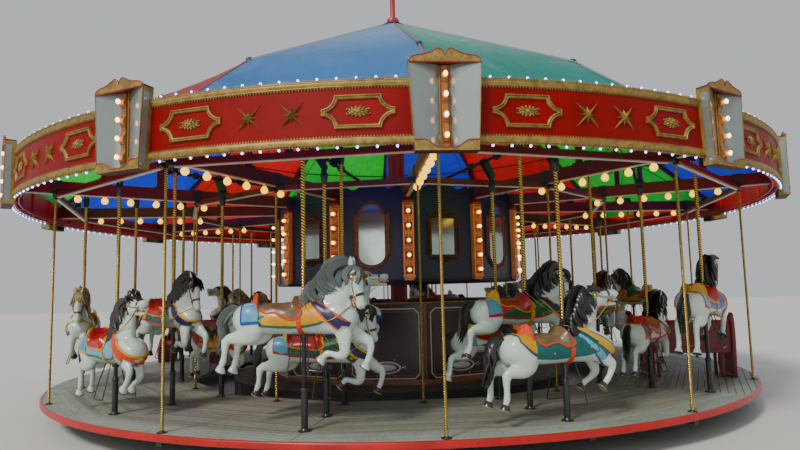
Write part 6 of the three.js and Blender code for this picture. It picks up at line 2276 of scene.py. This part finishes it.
def pole_geo(place, s):
    """The horse's pole with its black lower length and its hanger, from the belly."""
    g = Geo()
    top = CRANK_Z - 1.08
    z1 = top - 0.165
    g.add(*turned_profile([(0.0212, 0.300 * s)] + [(0.0212, z) for z in np.linspace(0.45, z1 - 0.08, 9)] + [(0.0212, z1)], 14), BRASS)
    g.add(*turned_profile([(0.019, -0.565), (0.0235, -0.561), (0.0238, -0.40), (0.0238, -0.10), (0.0236, 0.02)], 14), BLACK)
    g.add(*turned_profile([(0.024, 0.340 * s), (0.040, 0.342 * s), (0.044, 0.348 * s), (0.040, 0.356 * s), (0.029, 0.364 * s), (0.0245, 0.380 * s)], 14), GOLD)
    g.add(*turned_profile([(0.0238, -0.045), (0.040, -0.040), (0.042, -0.015), (0.030, 0.005)], 14), BLACK)
    # hanger: a tapered sleeve, a fork and its cap
    g.add(*turned_profile([(0.024, z1 - 0.040), (0.032, z1 - 0.036), (0.036, z1 - 0.010), (0.040, z1 + 0.040), (0.046, z1 + 0.075), (0.040, z1 + 0.090), (0.022, z1 + 0.094)], 14), BLACK)
    for k in (-1, 1):
        g.add(*bar(-0.026, 0.026, k * 0.022 - 0.006, k * 0.022 + 0.006, z1 + 0.06, top + 0.020, 0.003), BLACK, False)
    v, f = turned_profile([(0.016, -0.034), (0.026, -0.032), (0.028, -0.028), (0.028, 0.028), (0.026, 0.032), (0.016, 0.034)], 12)
    g.add(aimed(v, (0, 0, top), (0, 1, 0)), f, BLACK)
    return g


def herd():
    built = {}
    for k, ph in PHASE.items():
        for i, place in enumerate(("outer", "middle", "inner")):
            fig, liv = TEAM[k][i]
            s = SCALE[place]
            key = (fig, place)
            if key not in built:
                pose, style = FIG[fig]
                detail, keep = DETAIL[place]
                g, _ = horse(pose, detail=detail, seed=11 + len(fig) + ord(fig[0]), keep=keep, style=style)
                whole = Geo().merge(g, np.diag([s, s, s, 1.0]))
                whole.merge(pole_geo(place, s))
                built[key] = lighter(whole, SHARE[place], LIVERIES["A"])
            t = -ph if place == "middle" else ph
            a = ROW0 + 30 * k
            name = f"horse_{k + 1:02d}_{place}"
            g = Geo().merge(built[key], at(a, RINGS[place], 1.08 + t * THROW))
            ob = g.object("carved_" + name, LIVERIES[liv])
            tidy(ob.data, 50)
            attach(ob, name)
            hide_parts(name)


herd()


# ------------------------------------------------------------------ stage and light
def stage():
    n = Nodes("pale_floor")
    c = n.noise(0.8, 3, 0.5)
    n.set(Base_Color=n.mix(c, (0.60, 0.59, 0.57), (0.66, 0.65, 0.63)), Roughness=0.75)
    me = bpy.data.meshes.new("floor")
    s = 60
    me.from_pydata([(-s, -s, 0), (s, -s, 0), (s, s, 0), (-s, s, 0)], [], [(0, 1, 2, 3)])
    me.materials.append(n.m)
    ob = bpy.data.objects.new("floor", me)
    bpy.context.scene.collection.objects.link(ob)
    ob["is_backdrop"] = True
    w = bpy.data.worlds.new("soft")
    bpy.context.scene.world = w
    w.use_nodes = True
    bg = w.node_tree.nodes["Background"]
    bg.inputs["Color"].default_value = (0.90, 0.95, 1.0, 1)
    bg.inputs["Strength"].default_value = 0.60

    def sun(name, rot, energy, angle, colour):
        l = bpy.data.lights.new(name, "SUN")
        l.energy, l.angle, l.color = energy, math.radians(angle), colour
        o = bpy.data.objects.new(name, l)
        o.rotation_euler = [math.radians(q) for q in rot]
        bpy.context.scene.collection.objects.link(o)

    sun("key", (48, 0, -35), 2.6, 12, (1.0, 0.95, 0.86))

    def area(name, loc, target, size, energy, colour):
        l = bpy.data.lights.new(name, "AREA")
        l.shape, l.size, l.energy, l.color = "DISK", size, energy, colour
        o = bpy.data.objects.new(name, l)
        o.location = loc
        d = Vector(target) - Vector(loc)
        o.rotation_euler = d.to_track_quat("-Z", "Y").to_euler()
        bpy.context.scene.collection.objects.link(o)

    area("front_fill", (-3.0, -15.0, 4.5), (0, -4, 1.2), 7.0, 160, (1.0, 0.98, 0.95))


stage()

{"cad": [list(map(float, q)) for q in CAD_BOX], "visual": [list(map(float, q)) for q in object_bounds()]}
